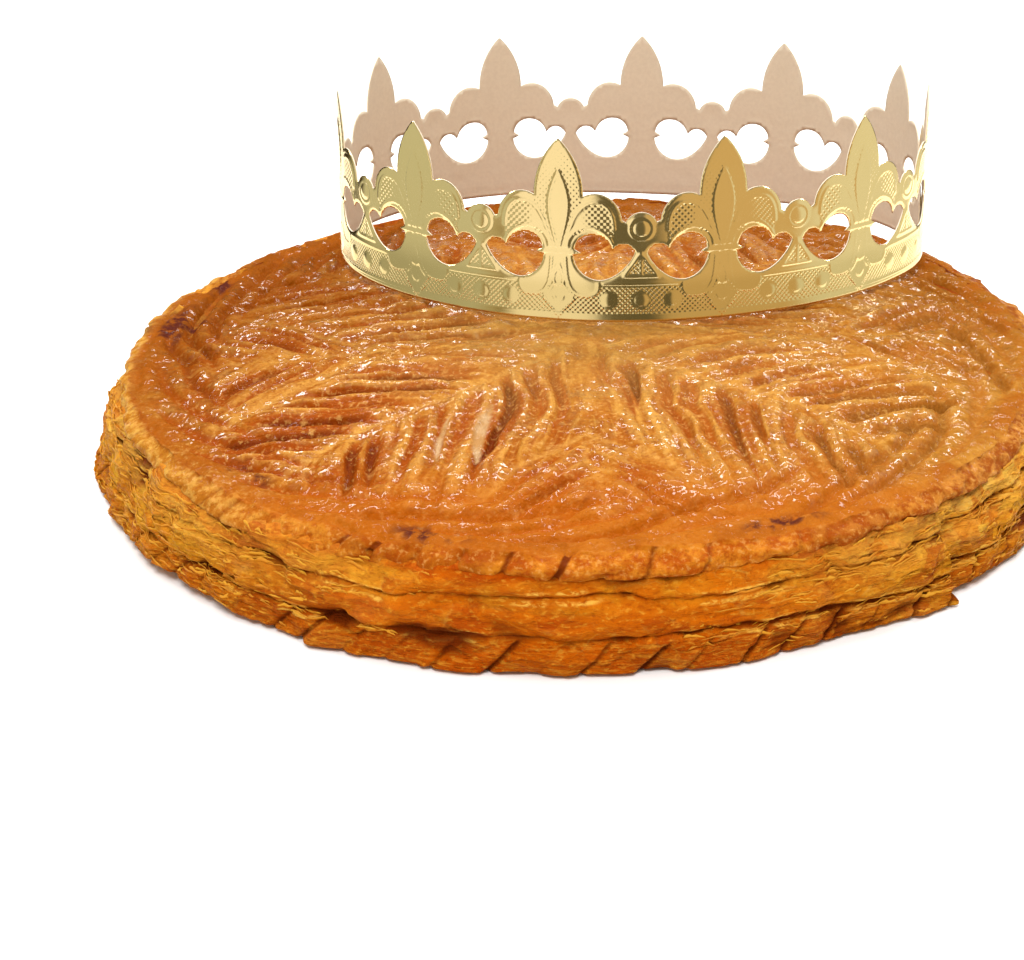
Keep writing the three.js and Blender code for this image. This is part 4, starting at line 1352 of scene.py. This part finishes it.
def side_material():
    n = Nodes(bpy.data.materials.new("baked_layers"))
    relief, level, nick, fringe = (n.attribute(mark) for mark in SIDE_MARKS)
    patch = n.noise(75.0, 5.0, 0.6, (1, 1, 1.8))
    layers = n.noise(125.0, 6.0, 0.66, (1, 1, 2.6), 0.8)
    fine = n.noise(520.0, 5.0, 0.6, (1, 1, 2.0))
    # Paler dough at the left and right. The deeper orange left in front is partly the bake and partly a
    # painted warm reflection from a gold board below.
    pale = n.math("MAXIMUM", n.facing(180, 75), n.facing(-22, 58))
    colour = side_base(n, level, patch, pale)
    # Thin skins that have split: each has its own tone, and their torn edges are pale.
    skins = [n.skins(*shape) for shape in ((62.0, 2.0, 0.011), (170.0, 3.0, 0.004))]
    for (tone, edge), strength in zip(skins, (0.65, 0.3)):
        torn = n.times(n.spread(edge, 0.05, 0.0, 0.0, strength), n.spread(patch, 0.5, 0.62))
        colour = n.tint(
            colour,
            (tone, 0.55, 1.0, strength, (0.54, 0.125, 0.002)),
            (tone, 0.45, 0.0, strength, (0.32, 0.044, 0.001)),
            (torn, (0.62, 0.29, 0.04)),
        )
    sheets = n.noise(240.0, 3.0, 0.6, (1, 1, 9.0), 0.3)
    low = n.math("MAXIMUM", n.spread(level, 9.0, 7.6, 0.12, 1.0), n.times(pale, 0.6))
    rags = n.spread(n.noise(420.0, 4.0, 0.65, (1, 1, 2.5), 0.6), 0.4, 0.58)
    colour = n.tint(
        colour,
        (layers, 0.54, 0.68, 0.5, (0.64, 0.24, 0.016)),
        (layers, 0.48, 0.32, 0.6, (0.28, 0.036, 0.001)),
        (n.times(n.spread(sheets, 0.5, 0.66, 0.0, 0.7), low), (0.66, 0.28, 0.024)),
        (n.times(n.spread(sheets, 0.48, 0.34, 0.0, 0.7), low), (0.25, 0.044, 0.001)),
        (level, 9.0, 6.5, 0.4, (0.38, 0.058, 0.001)),
        (fine, 0.54, 0.68, 0.4, (0.76, 0.37, 0.035)),
        (fine, 0.46, 0.32, 0.4, (0.26, 0.038, 0.001)),
        (n.times(n.spread(fringe, 0.25, 0.9, 0.0, 0.85), rags), (0.8, 0.45, 0.07)),
        # Painted shade in the hollows, seams and scoops, and in the nicks of the foot.
        (relief, -0.3, -2.2, 0.95, (0.13, 0.017, 0.001)),
        (nick, 0.15, 0.7, 0.65, (0.13, 0.018, 0.001)),
    )
    skin = n.bump(layers, 0.0022, 0.9)
    for (tone, _), height in zip(skins, (0.001, 0.0006)):
        skin = n.bump(tone, height, 0.8, skin)
    skin = n.bump(n.times(sheets, low), 0.001, 0.8, skin)
    roughness = n.spread(fine, 0.3, 0.7, 0.38, 0.66)
    return n.shade(colour=colour, roughness=roughness, specular=0.03, normal=n.bump(fine, 0.0005, 0.8, skin))


def flake_material():
    n = Nodes(bpy.data.materials.new("crisp_flakes"))
    colour = n.mix(n.attribute("tone"), (0.48, 0.13, 0.002), (0.62, 0.275, 0.014))
    colour = n.mix(n.times(n.attribute("tip"), 0.3), colour, (0.72, 0.41, 0.06))
    return n.shade(colour=colour, roughness=0.5, specular=0.1, normal=n.bump(n.noise(500.0), 0.0004, 0.8))


def gold_material():
    n = Nodes(bpy.data.materials.new("gold_foil"))
    flat = n.split(n.add("ShaderNodeUVMap", uv_map="flat").outputs[0])

    def dots(wave, pitch):
        along, up = (n.math(wave, n.times(flat[i], TURN / pitch)) for i in (0, 1))
        return n.times(along, up)

    # Painted reflection: the foil darker at its left end and low down, where it mirrors the dark room behind.
    left = n.times(n.around((-0.055, 0.03, 0.035), 0.055), n.spread(flat[1], 20.0, 9.0, 0.0, 0.9))
    colour = n.tint(
        n.mix(n.spread(n.noise(9.0, 3.0, 0.5), 0.3, 0.7), (0.9, 0.68, 0.31), (0.93, 0.72, 0.35)),
        # Painted reflection: the band darker towards its foot, where the lower foil mirrors the dark room.
        (flat[1], 14.0, 9.0, 1.0, (0.78, 0.59, 0.255)),
        (left, (0.6, 0.45, 0.19)),
    )
    squares = n.times(dots("COSINE", 1.7), n.attribute("grid"))
    diamonds = n.times(dots("SINE", 1.45), n.attribute("ground"))
    skin = n.bump(n.math("ADD", squares, diamonds), 0.00005, 1.0)
    skin = n.bump(n.noise(70.0, 2.0, 0.5), 0.00012, 0.5, skin)
    # The foil curls back a little between its pressed lines, so it mirrors the room, not the crust.
    tilt = n.vector("ADD", skin, (0, 0, FOIL_TILT)).outputs[0]
    roughness = n.spread(n.noise(240.0, 3.0, 0.5), 0.3, 0.7, 0.1, 0.16)
    normal = n.vector("NORMALIZE", tilt).outputs[0]
    return n.shade(colour=colour, metallic=1.0, roughness=roughness, normal=normal)


def card_material(name, colour, shade):
    n = Nodes(bpy.data.materials.new(name))
    grain = n.noise(900.0)
    colour = n.mix(n.spread(grain, 0.3, 0.7), colour, shade)
    return n.shade(colour=colour, roughness=0.6, normal=n.bump(grain, 0.00005, 0.5))


def floor_material():
    n = Nodes(bpy.data.materials.new("pale_floor"))
    return n.shade(colour=(0.88, 0.88, 0.88, 1), roughness=0.6, specular=0.2)


# ---- stage ----

def make_camera():
    data = bpy.data.cameras.new("camera")
    data.sensor_width = SENSOR
    data.lens = FOCAL / FRAME_WIDTH * SENSOR
    data.clip_start = 0.01
    camera = bpy.data.objects.new("camera", data)
    up = RIGHT.cross(LOOK)
    turn = Matrix((RIGHT, up, -LOOK)).transposed()
    camera.matrix_world = Matrix.Translation(Vector(EYE) * MM) @ turn.to_4x4()
    bpy.context.scene.collection.objects.link(camera)
    bpy.context.scene.camera = camera


def add_light(name, kind, towards, power, place=(0, 0, 0), glossy=True, **settings):
    """Adds a light that shines along a direction. Where it isn't glossy, nothing mirrors it."""
    data = bpy.data.lights.new(name, kind)
    data.energy = power
    for key, value in settings.items():
        setattr(data, key, value)
    light = bpy.data.objects.new(name, data)
    light.location = place
    light.rotation_euler = Vector(towards).to_track_quat("-Z", "Y").to_euler()
    light.visible_glossy = glossy
    bpy.context.scene.collection.objects.link(light)


ROOM = [  # from and to which azimuth in degrees, and the room's light from there
    (-180, -150, (0.60, 0.64, 0.56)),
    (-143, -143, (0.50, 0.45, 0.30)),
    (-139, -139, (0.30, 0.25, 0.13)),
    (-135, -104, (1.08, 1.06, 1.02)),
    (-99, -79, (0.15, 0.135, 0.09)),
    (-74, -36, (0.66, 0.50, 0.28)),
    (-26, 30, (0.82, 0.84, 0.76)),
    (60, 140, (0.05, 0.042, 0.028)),
    (160, 180, (0.60, 0.64, 0.56)),
]
OVERHEAD = (0.38, 0.38, 0.38)


def make_world():
    """A room that is bright and dark by turns around the horizon, grey overhead, and white
    where the camera looks past the floor."""
    n = Nodes(bpy.data.worlds.new("studio"))
    place = n.split(n.add("ShaderNodeTexCoord").outputs["Generated"])
    ramp = n.add("ShaderNodeValToRGB")
    n.plug(ramp.inputs[0], n.math("MULTIPLY_ADD", n.math("ARCTAN2", place[1], place[0]), 1 / TURN, 0.5))
    wanted = [(degrees, colour) for first, last, colour in ROOM for degrees in sorted({first, last})]
    stops = ramp.color_ramp.elements
    while len(stops) < len(wanted):
        stops.new(0.5)
    for stop, (degrees, colour) in zip(stops, wanted):
        stop.position = degrees / 360 + 0.5
        stop.color = (*colour, 1)
    high = n.spread(place[2], 0.5, 0.95, kind="LINEAR")
    room = n.mix(high, ramp.outputs[0], OVERHEAD)
    seen = n.mix(n.add("ShaderNodeLightPath").outputs["Is Camera Ray"], room, (1, 1, 1))
    n.plug(n.tree.nodes["Background"].inputs["Color"], seen)
    bpy.context.scene.world = n.block


FLOOR_RADIUS = 640.0
AIM = Vector((0, 0, 0.02))  # where the lights point
SUN = (-0.12, -0.62, 1.0)  # the direction it comes from
SUN_POWER = 2.4
SUN_ANGLE = math.radians(24)
TOP = (0.1, 0.0, 1.5)
TOP_POWER = 8
TOP_SIZE = 1.2
GLINT_POWER = 4.6
GLINT_SIZE = 0.28
GLINTS = [  # panes of light behind, that the glaze's beads mirror
    (-0.85, 0.55, 1.00),
    (-0.42, 0.80, 1.15),
    (0.05, 0.88, 1.20),
    (0.52, 0.80, 1.15),
    (0.95, 0.55, 1.00),
]


def make_stage():
    turns = np.arange(96) / 96 * TURN
    rim = polar(FLOOR_RADIUS, turns)
    mesh_piece("floor", rim, [tuple(range(96))], [floor_material()])
    make_world()
    # Mirrored, the sun and the light overhead would lie on the glaze as a haze.
    add_light("sun", "SUN", -Vector(SUN), SUN_POWER, glossy=False, angle=SUN_ANGLE)
    add_light("top", "AREA", AIM - Vector(TOP), TOP_POWER, TOP, False, size=TOP_SIZE)
    for number, place in enumerate(GLINTS):
        add_light("glint_" + str(number), "AREA", AIM - Vector(place), GLINT_POWER, place, size=GLINT_SIZE)
    bpy.context.scene.view_settings.view_transform = "Standard"


make_camera()
make_stage()

lid = make_lid(lid_material())
side = make_side(side_material())
flakes = make_flakes(flake_material())
crown = make_crown([
    gold_material(),
    card_material("card_inside", (0.62, 0.515, 0.39), (0.66, 0.555, 0.42)),
    card_material("card_edge", (0.80, 0.68, 0.50), (0.86, 0.74, 0.56)),
])

for piece in (lid, side, flakes):
    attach(piece, "root")
    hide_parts("galette")
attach(crown, "root")
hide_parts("crown")
